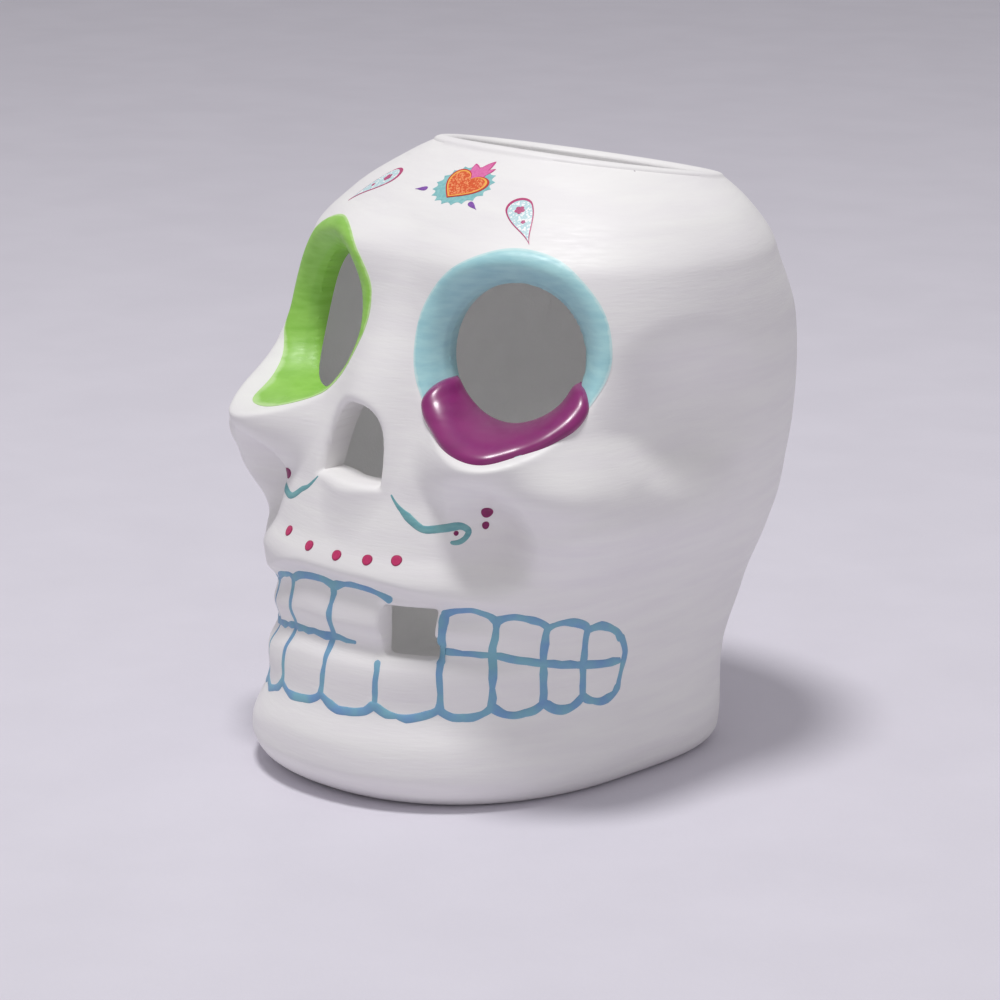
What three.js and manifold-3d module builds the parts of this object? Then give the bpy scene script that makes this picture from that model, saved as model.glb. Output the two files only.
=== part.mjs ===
// A painted ceramic sugar skull with an open top, as a candle or plant holder: one hollow casting,
// the coats in its two eye sockets, a raised pool of enamel, raised tooth outlines, dots and curls,
// and the transfers on its forehead. Millimetres, +Z up. The face looks towards -Y, the skull's own
// left is +X, and the underside stands on Z = 0.
import * as THREE from "three";
import { mergeVertices } from "three/addons/utils/BufferGeometryUtils.js";
import Module from "manifold-3d";

const wasm = await Module();
wasm.setup();

// Landmark heights above the table.
const CHIN_HEIGHT = 9;
const TOOTH_ROOT_HEIGHT = 24.6;
const BITE_HEIGHT = 38.5;
const LIP_HEIGHT = 54;
const NOSE_FLOOR_HEIGHT = 76;
const CHEEK_HEIGHT = 82;
const EYE_HEIGHT = 108;
const BROW_HEIGHT = 127;
const RIM_HEIGHT = 151.3; // on the skull's own middle line, above the origin
const RIM_FALL = 0.18; // how far the rim drops for each millimetre towards the back

// The casting.
const WALL = 5.5;
const FLOOR_THICKNESS = 7;
const FOOT_ROUND = 4.5; // radius of the edge that the underside turns up with

// Level sections from the foot to the crown. front, back and half are how far a section reaches ahead
// of, behind and beside the origin, middle is where it is widest, and the two box values say how square
// its front and back are: 2 is an ellipse.
const SECTIONS = [
  { height: 0, front: 60, back: 48, half: 49, middle: -4.5, boxFront: 2.2, boxBack: 3.6 },
  { height: CHIN_HEIGHT, front: 65.5, back: 49, half: 51, middle: -4.5, boxFront: 2.15, boxBack: 3.4 },
  { height: TOOTH_ROOT_HEIGHT, front: 62, back: 54, half: 49, middle: -4, boxFront: 2.05, boxBack: 3.2 },
  { height: BITE_HEIGHT, front: 58, back: 64, half: 49.5, middle: -3.5, boxFront: 2.1, boxBack: 3 },
  { height: LIP_HEIGHT, front: 58, back: 72, half: 54, middle: 0, boxFront: 2.2, boxBack: 2.8 },
  { height: LIP_HEIGHT + 8, front: 54.5, back: 74, half: 57, middle: 2.5, boxFront: 2.05, boxBack: 2.7 },
  { height: CHEEK_HEIGHT - 10, front: 50.5, back: 76, half: 59.5, middle: 7, boxFront: 2.05, boxBack: 2.5 },
  { height: CHEEK_HEIGHT, front: 46.5, back: 77.5, half: 61, middle: 11, boxFront: 2.5, boxBack: 2.4 },
  { height: EYE_HEIGHT - 14, front: 41.5, back: 78, half: 62, middle: 15, boxFront: 3.1, boxBack: 2.3 },
  { height: EYE_HEIGHT, front: 36.5, back: 76.5, half: 62.5, middle: 18.5, boxFront: 2.7, boxBack: 2.2 },
  { height: BROW_HEIGHT, front: 30, back: 69.5, half: 60, middle: 21.5, boxFront: 2.5, boxBack: 2 },
  { height: RIM_HEIGHT - 15, front: 21.5, back: 63, half: 53.5, middle: 23, boxFront: 2.3, boxBack: 2 },
  { height: RIM_HEIGHT - 6, front: 9.5, back: 54, half: 40, middle: 24, boxFront: 2.2, boxBack: 2 },
  { height: RIM_HEIGHT + 1, front: -1, back: 44, half: 24, middle: 24, boxFront: 2.2, boxBack: 2 },
  { height: RIM_HEIGHT + 8, front: -14, back: 34, half: 10, middle: 24, boxFront: 2.2, boxBack: 2 },
];

// Swells and hollows that the sculptor worked into those sections: where each is, how far it spreads
// and how far it pushes the surface. One that is off the middle line is repeated on the other side.
const SCULPTING = [
  { name: "cheekbone", at: [38, -34, CHEEK_HEIGHT + 3.8], spread: [24, 33.5, 19], push: [3.5, -12.3, 0] },
  { name: "cheek", at: [51.7, -21.6, CHEEK_HEIGHT - 8.9], spread: [21, 31.5, 21], push: [8.5, -8.5, 0] },
  { name: "cheek arch", at: [60, 4, CHEEK_HEIGHT - 15.7], spread: [20, 28, 18.5], push: [2.6, 0, 0] },
  { name: "cheek hollow", at: [38.5, -42, LIP_HEIGHT + 15], spread: [12, 21, 18], push: [-2.5, 6, 0] },
  { name: "temple", at: [57, 4, EYE_HEIGHT - 13], spread: [16, 30, 24], push: [-6, 0, 0] },
  { name: "brow", at: [26, -36, BROW_HEIGHT + 3], spread: [30, 24, 14], push: [1, -3, 1] },
  { name: "nose bridge", at: [0, -46, NOSE_FLOOR_HEIGHT + 16], spread: [15, 30, 32], push: [0, -6, 0] },
];

// Eye sockets: a dished ring down to a round hole in a flat floor. The yaw turns a socket outwards.
const EYE_ACROSS = 34; // where the line of sight leaves the face
const EYE_YAW = THREE.MathUtils.degToRad(23);
const EYE_TILT = THREE.MathUtils.degToRad(4);
const SOCKET_HALF_WIDTH = 25.3;
const SOCKET_HALF_HEIGHT = 25;
const SOCKET_LIFT = 1; // how far the ring's middle is above the hole's
const SOCKET_DEPTH = 9.7;
const EYE_HOLE_RADIUS = 17.2;

// The nose opening, an arch on a flat floor.
const NOSE_ASIDE = -2; // it is a little to the skull's right
const NOSE_WIDTH = 21;
const NOSE_HEIGHT = 18;
const NOSE_SHOULDER = 6.5; // height of the arch above its straight sides
const NOSE_CROWN = 8.5; // half of the flattest stretch at the top of the arch

// Teeth: where each begins and ends, in degrees round from the middle of the face to the skull's left.
const TOOTH_EDGES = [-86, -74, -62, -48, -33, -17.5, 0, 16.2, 33, 46.5, 60.5, 73, 86];
const GAP_TOOTH = 7; // the missing upper tooth, counted from the skull's right
const GAP_CLEARANCE = 0.6; // ceramic left between its opening and the outlines beside it
const GAP_FALL = 2.2; // how far below the bite its opening begins
const OUTLINE_WIDTH = 1.8;
const UPPER_TOOTH = 12.8; // length of an upper front tooth
const BACK_TOOTH_LOSS = 3.6; // how much shorter the upper teeth are behind the front ones
const FRONT_TEETH = [9, 38]; // the turns between which they shorten, to either side
const BITE_TURN = 33; // the turn, to either side, from which the bite drops
const BITE_BACK_DROP = 6.5; // how much lower the bite is at the last tooth
const RIGHT_FALL = 4.4; // how much lower the mouth is towards the skull's right
const RIGHT_FALL_TURNS = [6, 40]; // the turns, to the right, between which it falls
const TOOTH_ARCH = 1.9; // rise of each tooth's outline between its two edges
const END_BULGE = 2; // degrees that the outline swells round the last tooth
const END_FALL = 3.5; // how much the outline of the last tooth rounds down

// Paint and transfers stand on the casting with a hairline gap.
const GAP = 0.3;
const COAT = 0.4;
const LINE_COAT = 0.7;
const ENAMEL = 1.6;
const COAT_INSET = 0.6; // from the edge of a socket and from its hole
const COAT_LIFT = 2; // how far a coat's middle is above the hole's
const COAT_HALF_HEIGHT = 23.4;

// Outer edge of the enamel round the lower half of the left eye, in the plane of the eye's hole, and
// the turns between which it follows the hole.
const ENAMEL_EDGE = [
  [-18.3, -6],
  [-20.4, -10.5],
  [-20.4, -15.5],
  [-15, -21],
  [-6, -23.4],
  [2, -22.9],
  [9, -20],
  [15.5, -17],
  [20, -13.5],
  [21.5, -9.5],
  [19.5, -5.6],
];
const ENAMEL_FROM = THREE.MathUtils.degToRad(199);
const ENAMEL_TO = THREE.MathUtils.degToRad(343);

// Dots: turn from the middle of the face in degrees, height and radius.
const LIP_DOT_RADIUS = 1.4;
const LIP_DOT_TURNS = [-19.5, -8.7, 1.6, 11, 18.8];
const LIP_DOT_HEIGHT = BITE_HEIGHT + 20.5; // clear of the upper teeth
const LIP_DOT_LIFT = 1.4; // how much higher the outer lip dots are
const CHEEK_DOTS = [
  { name: "left_cheek_dot_large", turn: 37.4, height: 72.5, radius: 1.4 },
  { name: "left_cheek_dot_small", turn: 37, height: 69.4, radius: 0.85 },
  { name: "right_cheek_dot_large", turn: -27.5, height: 72.2, radius: 1.4 },
  { name: "right_cheek_dot_small", turn: -31, height: 72.8, radius: 0.85 },
  { name: "left_curl_dot", turn: 31.2, height: 67.3, radius: 0.6 },
  { name: "right_curl_dot", turn: -31.2, height: 67.3, radius: 0.6 },
];

// The curl beside the nose: turn in degrees, height, and the width of the brush there. It stands off
// the casting far enough to clear the facets of the hollow that it runs into.
const CURL_LIFT = 0.5;
const CURL = [
  { turn: 12.8, height: 74.8, width: 0.7 },
  { turn: 18.5, height: 70.3, width: 1.5 },
  { turn: 25, height: 68.1, width: 2 },
  { turn: 28.8, height: 68.9, width: 1.9 },
  { turn: 32, height: 69.3, width: 1.7 },
  { turn: 33.8, height: 67.6, width: 1.5 },
  { turn: 32.8, height: 65.3, width: 1.3 },
  { turn: 30.4, height: 65.1, width: 0.9 },
];

// Forehead transfers: their heights are below the rim's height on the middle line, and the heart's, the
// frill's and the flames' sizes are across the glaze.
const HEART_TURN = 2.5;
const HEART_BELOW_RIM = 8;
const HEART_LEAN = -35; // degrees that its point swings towards the skull's right
const HEART_SQUASH = 0.8; // how much lower the leaning transfer is than it is wide
const HEART_WIDTH = 13.4;
const FRILL_RADIUS = 8.4;
const FRILL_HEIGHT = 17.4;
const FRILL_SCALLOPS = 14;
const SCALLOP_RISE = 0.7;
const FLAME_ROOT = 1.5; // above the middle of the heart
const FLAME_WIDTH = 8.3;
const FLAME_TIP = 11.5;
const SIDE_FLAME_TIP = 9.4;
const FLAME_NOTCH = 7.8;
const TRANSFER_GAP = 0.35; // bare glaze between two colours of a transfer
const SPARKS = [
  { name: "spark_right", turn: -15.5, belowRim: 10.3, lean: -75 },
  { name: "spark_left", turn: 13.5, belowRim: 12, lean: 60 },
];
const SPARK_LENGTH = 4;
const SPARK_WIDTH = 1.4;
const DROPS = [
  { name: "left_drop", turn: 32.9, belowRim: 13, lean: 30 },
  { name: "right_drop", turn: -38, belowRim: 11.7, lean: -30 },
];
const DROP_LENGTH = 15.6;
const DROP_WIDTH = 7;
const LAYER_MARGIN = 3; // how far a patch of paint reaches past its outline before it is cut

// How finely the casting is faceted: columns crowd towards the face.
const COLUMNS = 72;
const ROWS = 35;
const FACE_CROWDING = 0.45;
const FOOT_ROWS = [0, 0.2, 0.5]; // shares of the height of the foot's rounded edge
const CAVITY_COLUMNS = 40;
const CAVITY_ROWS = 14;
const RIBBON_STEP = 4;
const CUT_REACH = 30; // how far the cuts of the eyes and the nose run to either side
const GAP_REACH = 15;
const TRANSFER_REACH = 10;
const TRANSFER_SEGMENTS = 4;
const DOT_SEGMENTS = 5;
const NORMAL_STEP = 0.01;
const FACE_STEPS = 40;
const RIM_STEPS = 24;

const COLOURS = {
  ceramic: 0xf1efee,
  green: 0x8bc653,
  teal: 0xa9d6da,
  enamel: 0x8a1f6e,
  outline: 0x6f9fc8,
  curl: 0x6fa9b0,
  pink: 0xc8386f,
  magenta: 0x7d0a55,
  orange: 0xe2602b,
  frill: 0x8fcaca,
  flame: 0xe36fae,
  spark: 0x8a54b0,
  drop: 0xcfe6ea,
};

// Roughness of each finish.
const FINISH = { glaze: 0.7, paint: 0.55, enamel: 0.15, line: 0.4, transfer: 0.45 };

const radians = THREE.MathUtils.degToRad;
const clamp = THREE.MathUtils.clamp;
const smooth = (t) => THREE.MathUtils.smoothstep(t, 0, 1);

// A smooth curve up through one measure of the sections, with no overshoot between them.
function sectionCurve(measure) {
  const heights = SECTIONS.map((section) => section.height);
  const values = SECTIONS.map((section) => section[measure]);
  const last = values.length - 1;
  const steps = values.slice(1).map((v, i) => (v - values[i]) / (heights[i + 1] - heights[i]));
  const slopes = values.map((value, i) => {
    const before = steps[Math.max(i - 1, 0)];
    const after = steps[Math.min(i, last - 1)];
    return before * after > 0 ? (2 * before * after) / (before + after) : 0;
  });
  return (height) => {
    const h = clamp(height, heights[0], heights[last]);
    const i = clamp(heights.findLastIndex((mark) => mark <= h), 0, last - 1);
    const span = heights[i + 1] - heights[i];
    const t = (h - heights[i]) / span;
    const bow = (1 - t) * slopes[i] - t * slopes[i + 1] + (2 * t - 1) * steps[i];
    return values[i] + (values[i + 1] - values[i]) * t + span * t * (1 - t) * bow;
  };
}

const front = sectionCurve("front");
const back = sectionCurve("back");
const half = sectionCurve("half");
const middle = sectionCurve("middle");
const boxFront = sectionCurve("boxFront");
const boxBack = sectionCurve("boxBack");

// A point of the plain sections, turned from the middle of the face towards the skull's left.
function sectionPoint(turn, height) {
  const ahead = Math.cos(turn);
  const aside = Math.sin(turn);
  const centre = middle(height);
  const reach = ahead > 0 ? front(height) + centre : back(height) - centre;
  const power = ahead > 0 ? boxFront(height) : boxBack(height);
  const across = (Math.abs(aside) / half(height)) ** power;
  const along = (Math.abs(ahead) / reach) ** power;
  const tuck = clamp(FOOT_ROUND - height, 0, FOOT_ROUND);
  const radius = (across + along) ** (-1 / power) - FOOT_ROUND + Math.sqrt(FOOT_ROUND ** 2 - tuck ** 2);
  return new THREE.Vector3(radius * aside, centre - radius * ahead, height);
}

// The same point with the sculptor's swells and hollows.
function sculptedPoint(turn, height) {
  const point = sectionPoint(turn, height);
  for (const { at, spread, push } of SCULPTING) {
    for (const side of at[0] === 0 ? [1] : [1, -1]) {
      const across = (point.x - side * at[0]) / spread[0];
      const along = (point.y - at[1]) / spread[1];
      const up = (point.z - at[2]) / spread[2];
      const fade = Math.max(0, 1 - across ** 2 - along ** 2 - up ** 2) ** 2;
      point.x += fade * side * push[0];
      point.y += fade * push[1];
      point.z += fade * push[2];
    }
  }
  return point;
}

// Where the sculpted face is a given distance beside the middle line.
function facePoint(across, height) {
  let low = 0;
  let high = Math.PI / 2;
  for (let step = 0; step < FACE_STEPS; step += 1) {
    const turn = (low + high) / 2;
    if (sculptedPoint(turn, height).x < across) low = turn;
    else high = turn;
  }
  return sculptedPoint(low, height);
}

// The frame of one eye: the middle of its hole, the way it looks, and its own side and up directions.
function eyeFrame(side) {
  const level = Math.cos(EYE_TILT);
  const [aside, ahead] = [side * Math.sin(EYE_YAW), -Math.cos(EYE_YAW)];
  const gaze = new THREE.Vector3(aside * level, ahead * level, Math.sin(EYE_TILT));
  const across = new THREE.Vector3(-ahead, aside, 0);
  const up = new THREE.Vector3().crossVectors(gaze, across);
  const at = facePoint(EYE_ACROSS, EYE_HEIGHT);
  at.setX(side * at.x).addScaledVector(gaze, -SOCKET_DEPTH);
  const matrix = new THREE.Matrix4().makeBasis(across, up, gaze).setPosition(at);
  return { at, gaze, across, up, matrix };
}

const EYES = { left: eyeFrame(1), right: eyeFrame(-1) };

// The finished outer surface: the sculpted one, dished down to a flat floor round both eyes.
function skinPoint(turn, height) {
  const point = sculptedPoint(turn, height);
  const floor = EYE_HOLE_RADIUS / SOCKET_HALF_WIDTH;
  for (const { at, gaze, across, up } of Object.values(EYES)) {
    const from = point.clone().sub(at);
    const above = from.dot(gaze);
    if (above < -CUT_REACH) continue;
    const aside = from.dot(across) / SOCKET_HALF_WIDTH;
    const aloft = (from.dot(up) - SOCKET_LIFT) / SOCKET_HALF_HEIGHT;
    const reach = Math.hypot(aside, aloft);
    const dish = clamp((1 - reach) / (1 - floor), 0, 1);
    point.addScaledVector(gaze, -above * dish * dish * (2 - dish));
  }
  return point;
}

// The way the outer surface faces.
function skinNormal(turn, height) {
  const round = skinPoint(turn + NORMAL_STEP, height).sub(skinPoint(turn - NORMAL_STEP, height));
  const above = skinPoint(turn, height + NORMAL_STEP);
  const up = above.sub(skinPoint(turn, Math.max(0, height - NORMAL_STEP)));
  return round.cross(up).normalize();
}

// Height of the sloping rim on one side of the skull.
function rimHeight(turn) {
  let height = RIM_HEIGHT;
  for (let step = 0; step < RIM_STEPS; step += 1) {
    height = RIM_HEIGHT - RIM_FALL * skinPoint(turn, height).y;
  }
  return height;
}

// A geometry's closed surface as a solid, and back.
function solidOf(geometry) {
  const bare = new THREE.BufferGeometry().setAttribute("position", geometry.getAttribute("position"));
  if (geometry.index) bare.setIndex(geometry.index);
  const merged = mergeVertices(bare, 1e-4);
  const vertProperties = new Float32Array(merged.getAttribute("position").array);
  const triVerts = new Uint32Array(merged.index.array);
  return new wasm.Manifold(new wasm.Mesh({ numProp: 3, vertProperties, triVerts }));
}

function geometryOf(solid) {
  const mesh = solid.getMesh();
  const geometry = new THREE.BufferGeometry();
  geometry.setAttribute("position", new THREE.BufferAttribute(new Float32Array(mesh.vertProperties), 3));
  geometry.setIndex(new THREE.BufferAttribute(new Uint32Array(mesh.triVerts), 1));
  geometry.computeVertexNormals();
  return geometry;
}

// A closed solid from rows of points that run round it, capped at both ends.
function ringsSolid(rows) {
  const columns = rows[0].length;
  const centreOf = (row) => row.reduce((sum, p) => sum.add(p), new THREE.Vector3()).divideScalar(columns);
  const points = [...rows.flat(), centreOf(rows[0]), centreOf(rows.at(-1))];
  const foot = rows.length * columns;
  const faces = [];
  for (let c = 0; c < columns; c += 1) {
    const next = (c + 1) % columns;
    for (let r = 0; r + 1 < rows.length; r += 1) {
      const [a, b] = [r * columns + c, r * columns + next];
      faces.push(a, b, b + columns, a, b + columns, a + columns);
    }
    const top = (rows.length - 1) * columns;
    faces.push(foot, next, c, foot + 1, top + c, top + next);
  }
  const geometry = new THREE.BufferGeometry().setFromPoints(points);
  geometry.setIndex(faces);
  return solidOf(geometry);
}

// The facets of the outer surface, foot to rim, with the way each corner faces.
const turns = Array.from({ length: COLUMNS }, (unused, c) => {
  const share = (2 * Math.PI * (c - COLUMNS / 2)) / COLUMNS;
  return share - FACE_CROWDING * Math.sin(share);
});
const rises = [
  ...FOOT_ROWS.map((share) => share * FOOT_ROUND),
  ...Array.from({ length: ROWS + 1 }, (unused, r) => FOOT_ROUND + ((RIM_HEIGHT - FOOT_ROUND) * r) / ROWS),
];
const rimHeights = turns.map(rimHeight);
const skinHeight = (c, rise) => (rise * rimHeights[c]) / RIM_HEIGHT;
const skin = rises.map((rise) => turns.map((turn, c) => skinPoint(turn, skinHeight(c, rise))));
const facing = rises.map((rise) => turns.map((turn, c) => skinNormal(turn, skinHeight(c, rise))));

// The hollow inside, one wall in from the outer surface and open through the rim.
function cavity() {
  const step = (2 * Math.PI) / CAVITY_COLUMNS;
  const cavityTurns = Array.from({ length: CAVITY_COLUMNS }, (unused, c) => step * c);
  const rows = Array.from({ length: CAVITY_ROWS + 1 }, (unused, r) =>
    cavityTurns.map((turn) => {
      const height = FLOOR_THICKNESS + ((rimHeight(turn) - FLOOR_THICKNESS) * r) / CAVITY_ROWS;
      const point = skinPoint(turn, height).addScaledVector(skinNormal(turn, height), -WALL);
      if (r === 0) point.z = FLOOR_THICKNESS;
      return point;
    }),
  );
  rows.push(rows.at(-1).map((point) => point.clone().setZ(RIM_HEIGHT + CUT_REACH)));
  return ringsSolid(rows);
}

// A straight-sided cutter through an outline, square to a frame.
function prism(shape, matrix, reach = CUT_REACH, curveSegments = 10) {
  const settings = { depth: 2 * reach, bevelEnabled: false, curveSegments };
  const geometry = new THREE.ExtrudeGeometry(shape, settings);
  geometry.translate(0, 0, -reach).applyMatrix4(matrix);
  return solidOf(geometry);
}

function transferPrism(shape, matrix, reach = TRANSFER_REACH) {
  return prism(shape, matrix, reach, TRANSFER_SEGMENTS);
}

function ellipse(halfWidth, halfHeight, lift = 0) {
  return new THREE.Shape().absellipse(0, lift, halfWidth, halfHeight, 0, 2 * Math.PI);
}

// A frame that lies on the outer surface, with its third axis straight out.
function markFrame(turn, height, lean = 0) {
  const out = skinNormal(radians(turn), height);
  const side = new THREE.Vector3(0, 0, 1).cross(out).normalize();
  const up = new THREE.Vector3().crossVectors(out, side);
  const matrix = new THREE.Matrix4().makeBasis(side, up, out);
  matrix.multiply(new THREE.Matrix4().makeRotationZ(radians(lean)));
  return matrix.setPosition(skinPoint(radians(turn), height));
}

// The layer of paint over a window of facets, between the gap and the gap plus its thickness.
function paintLayer(thickness, covers) {
  const rowsCovered = [];
  const columnsCovered = [];
  skin.forEach((row, r) =>
    row.forEach((point, c) => {
      if (!covers(point, facing[r][c])) return;
      rowsCovered.push(r);
      columnsCovered.push(c);
    }),
  );
  const firstRow = Math.max(Math.min(...rowsCovered) - 1, 0);
  const lastRow = Math.min(Math.max(...rowsCovered) + 1, skin.length - 1);
  const firstColumn = Math.max(Math.min(...columnsCovered) - 1, 0);
  const lastColumn = Math.min(Math.max(...columnsCovered) + 1, COLUMNS - 1);
  const wide = lastColumn - firstColumn + 1;
  const tall = lastRow - firstRow + 1;
  const points = [GAP, GAP + thickness].flatMap((lift) =>
    skin.slice(firstRow, lastRow + 1).flatMap((row, r) =>
      row.slice(firstColumn, lastColumn + 1).map((point, c) =>
        point.clone().addScaledVector(facing[firstRow + r][firstColumn + c], lift),
      ),
    ),
  );
  const upper = wide * tall;
  const faces = [];
  for (let r = 0; r + 1 < tall; r += 1) {
    for (let c = 0; c + 1 < wide; c += 1) {
      const a = r * wide + c;
      const b = a + 1;
      faces.push(upper + a, upper + b, upper + b + wide, upper + a, upper + b + wide, upper + a + wide);
      faces.push(a, b + wide, b, a, a + wide, b + wide);
    }
  }
  const wallBetween = (a, b) => faces.push(a, b, upper + b, a, upper + b, upper + a);
  for (let c = 0; c + 1 < wide; c += 1) {
    wallBetween(c, c + 1);
    wallBetween((tall - 1) * wide + c + 1, (tall - 1) * wide + c);
  }
  for (let r = 0; r + 1 < tall; r += 1) {
    wallBetween((r + 1) * wide, r * wide);
    wallBetween(r * wide + wide - 1, (r + 1) * wide + wide - 1);
  }
  const geometry = new THREE.BufferGeometry().setFromPoints(points);
  geometry.setIndex(faces);
  return solidOf(geometry);
}

// Paint within a distance of a frame's origin, on the side of the skull that the frame faces.
function layerNear(matrix, distance, thickness) {
  const at = new THREE.Vector3().setFromMatrixPosition(matrix);
  const out = new THREE.Vector3().setFromMatrixColumn(matrix, 2);
  return paintLayer(thickness, (point, way) => point.distanceTo(at) < distance && way.dot(out) > 0);
}

// The nose opening's arch, on its flat floor.
function noseShape() {
  const side = NOSE_WIDTH / 2;
  const spring = NOSE_HEIGHT - NOSE_SHOULDER;
  const shape = new THREE.Shape();
  shape.moveTo(-side, 0);
  shape.lineTo(side, 0);
  shape.bezierCurveTo(side, spring, NOSE_CROWN, NOSE_HEIGHT, 0, NOSE_HEIGHT);
  shape.bezierCurveTo(-NOSE_CROWN, NOSE_HEIGHT, -side, spring, -side, 0);
  return shape;
}

// The frame of a cut that runs straight back through a point.
function facingAhead(at) {
  return new THREE.Matrix4().makeRotationX(Math.PI / 2).setPosition(at);
}

function noseCutter() {
  const at = sculptedPoint(0, NOSE_FLOOR_HEIGHT).setX(NOSE_ASIDE);
  return prism(noseShape(), facingAhead(at));
}

// Heights of the bite and of the two outlines at a turn, in degrees from the middle of the face.
const lastEdge = TOOTH_EDGES.at(-1);
const shareBetween = (turn, from, to) => smooth((Math.abs(turn) - from) / (to - from));
const rightFall = (turn) => (turn < 0 ? RIGHT_FALL * shareBetween(turn, ...RIGHT_FALL_TURNS) : 0);
const rootHeight = (turn) => TOOTH_ROOT_HEIGHT - rightFall(turn);
const backDrop = (turn) => BITE_BACK_DROP * shareBetween(turn, BITE_TURN, lastEdge);
const biteHeight = (turn) => BITE_HEIGHT - backDrop(turn) - rightFall(turn);
const toothLength = (turn) => UPPER_TOOTH - BACK_TOOTH_LOSS * shareBetween(turn, ...FRONT_TEETH);
const upperHeight = (turn) => biteHeight(turn) + toothLength(turn);

// The opening of the missing tooth, cut straight back between its two edges.
function gapCutter() {
  const edges = TOOTH_EDGES.slice(GAP_TOOTH, GAP_TOOTH + 2);
  const [from, to] = edges.map((edge) => skinPoint(radians(edge), BITE_HEIGHT));
  const at = new THREE.Vector3(0, (from.y + to.y) / 2, BITE_HEIGHT - GAP_FALL);
  const inset = OUTLINE_WIDTH / 2 + GAP_CLEARANCE;
  const [right, left] = [from.x + inset, to.x - inset];
  const shape = new THREE.Shape();
  shape.moveTo(right, 0);
  shape.lineTo(left, 0);
  shape.lineTo(left, UPPER_TOOTH);
  shape.lineTo(right, UPPER_TOOTH);
  return prism(shape, facingAhead(at), GAP_REACH);
}

function shellSolid() {
  const hole = ellipse(EYE_HOLE_RADIUS, EYE_HOLE_RADIUS);
  return ringsSolid(skin)
    .subtract(cavity())
    .subtract(prism(hole, EYES.left.matrix))
    .subtract(prism(hole, EYES.right.matrix))
    .subtract(noseCutter())
    .subtract(gapCutter());
}

// The pool of enamel under the left eye, in the eye's own frame: it runs along the hole below.
function enamelShape(margin) {
  const middleOf = new THREE.Vector2(0, -EYE_HOLE_RADIUS);
  const outer = ENAMEL_EDGE.map(([x, y]) => {
    const from = new THREE.Vector2(x, y).sub(middleOf);
    return from.setLength(from.length() + margin).add(middleOf);
  });
  const shape = new THREE.Shape();
  shape.absarc(0, 0, EYE_HOLE_RADIUS + COAT_INSET - margin, ENAMEL_TO, ENAMEL_FROM, true);
  shape.splineThru(outer);
  return shape;
}

// Everything below the pool, where it runs over the edge of the socket.
function belowEnamelShape() {
  const shape = new THREE.Shape();
  shape.moveTo(...ENAMEL_EDGE[2]);
  shape.lineTo(-CUT_REACH, -CUT_REACH);
  shape.lineTo(CUT_REACH, -CUT_REACH);
  shape.lineTo(...ENAMEL_EDGE.at(-3));
  return shape;
}

function socketCoat(eye) {
  const shape = ellipse(SOCKET_HALF_WIDTH - COAT_INSET, COAT_HALF_HEIGHT, COAT_LIFT);
  const hole = ellipse(EYE_HOLE_RADIUS + COAT_INSET, EYE_HOLE_RADIUS + COAT_INSET);
  const layer = layerNear(eye.matrix, SOCKET_HALF_HEIGHT + WALL, COAT);
  return layer.intersect(prism(shape, eye.matrix)).subtract(prism(hole, eye.matrix));
}

function leftSocketCoat() {
  const pool = transferPrism(enamelShape(TRANSFER_GAP), EYES.left.matrix, CUT_REACH);
  const below = transferPrism(belowEnamelShape(), EYES.left.matrix, CUT_REACH);
  return socketCoat(EYES.left).subtract(pool).subtract(below);
}

function enamelPool() {
  const layer = layerNear(EYES.left.matrix, SOCKET_HALF_HEIGHT + WALL, ENAMEL);
  return layer.intersect(transferPrism(enamelShape(0), EYES.left.matrix, CUT_REACH));
}

// A line of paint along the outer surface through points that give a turn, a height and a width.
function brushLine(points, lift = GAP) {
  const places = [points[0]];
  points.slice(1).forEach((to, i) => {
    const from = points[i];
    const start = skinPoint(radians(from.turn), from.height);
    const length = skinPoint(radians(to.turn), to.height).distanceTo(start);
    const steps = Math.ceil(length / RIBBON_STEP);
    for (let step = 1; step <= steps; step += 1) {
      const between = (measure) => from[measure] + ((to[measure] - from[measure]) * step) / steps;
      places.push({ turn: between("turn"), height: between("height"), width: between("width") });
    }
  });
  const centres = places.map(({ turn, height }) => skinPoint(radians(turn), height));
  const rows = places.map(({ turn, height, width }, i) => {
    const out = skinNormal(radians(turn), height);
    const next = centres[Math.min(i + 1, centres.length - 1)];
    const along = next.clone().sub(centres[Math.max(i - 1, 0)]);
    const side = out.clone().cross(along).setLength(width / 2);
    const edge = (hand) => centres[i].clone().addScaledVector(side, hand);
    const corner = (hand, rise) => edge(hand).addScaledVector(out, rise);
    const crown = lift + LINE_COAT;
    return [corner(-1, lift), corner(1, lift), corner(1, crown), corner(-1, crown)];
  });
  return ringsSolid(rows);
}

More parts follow.
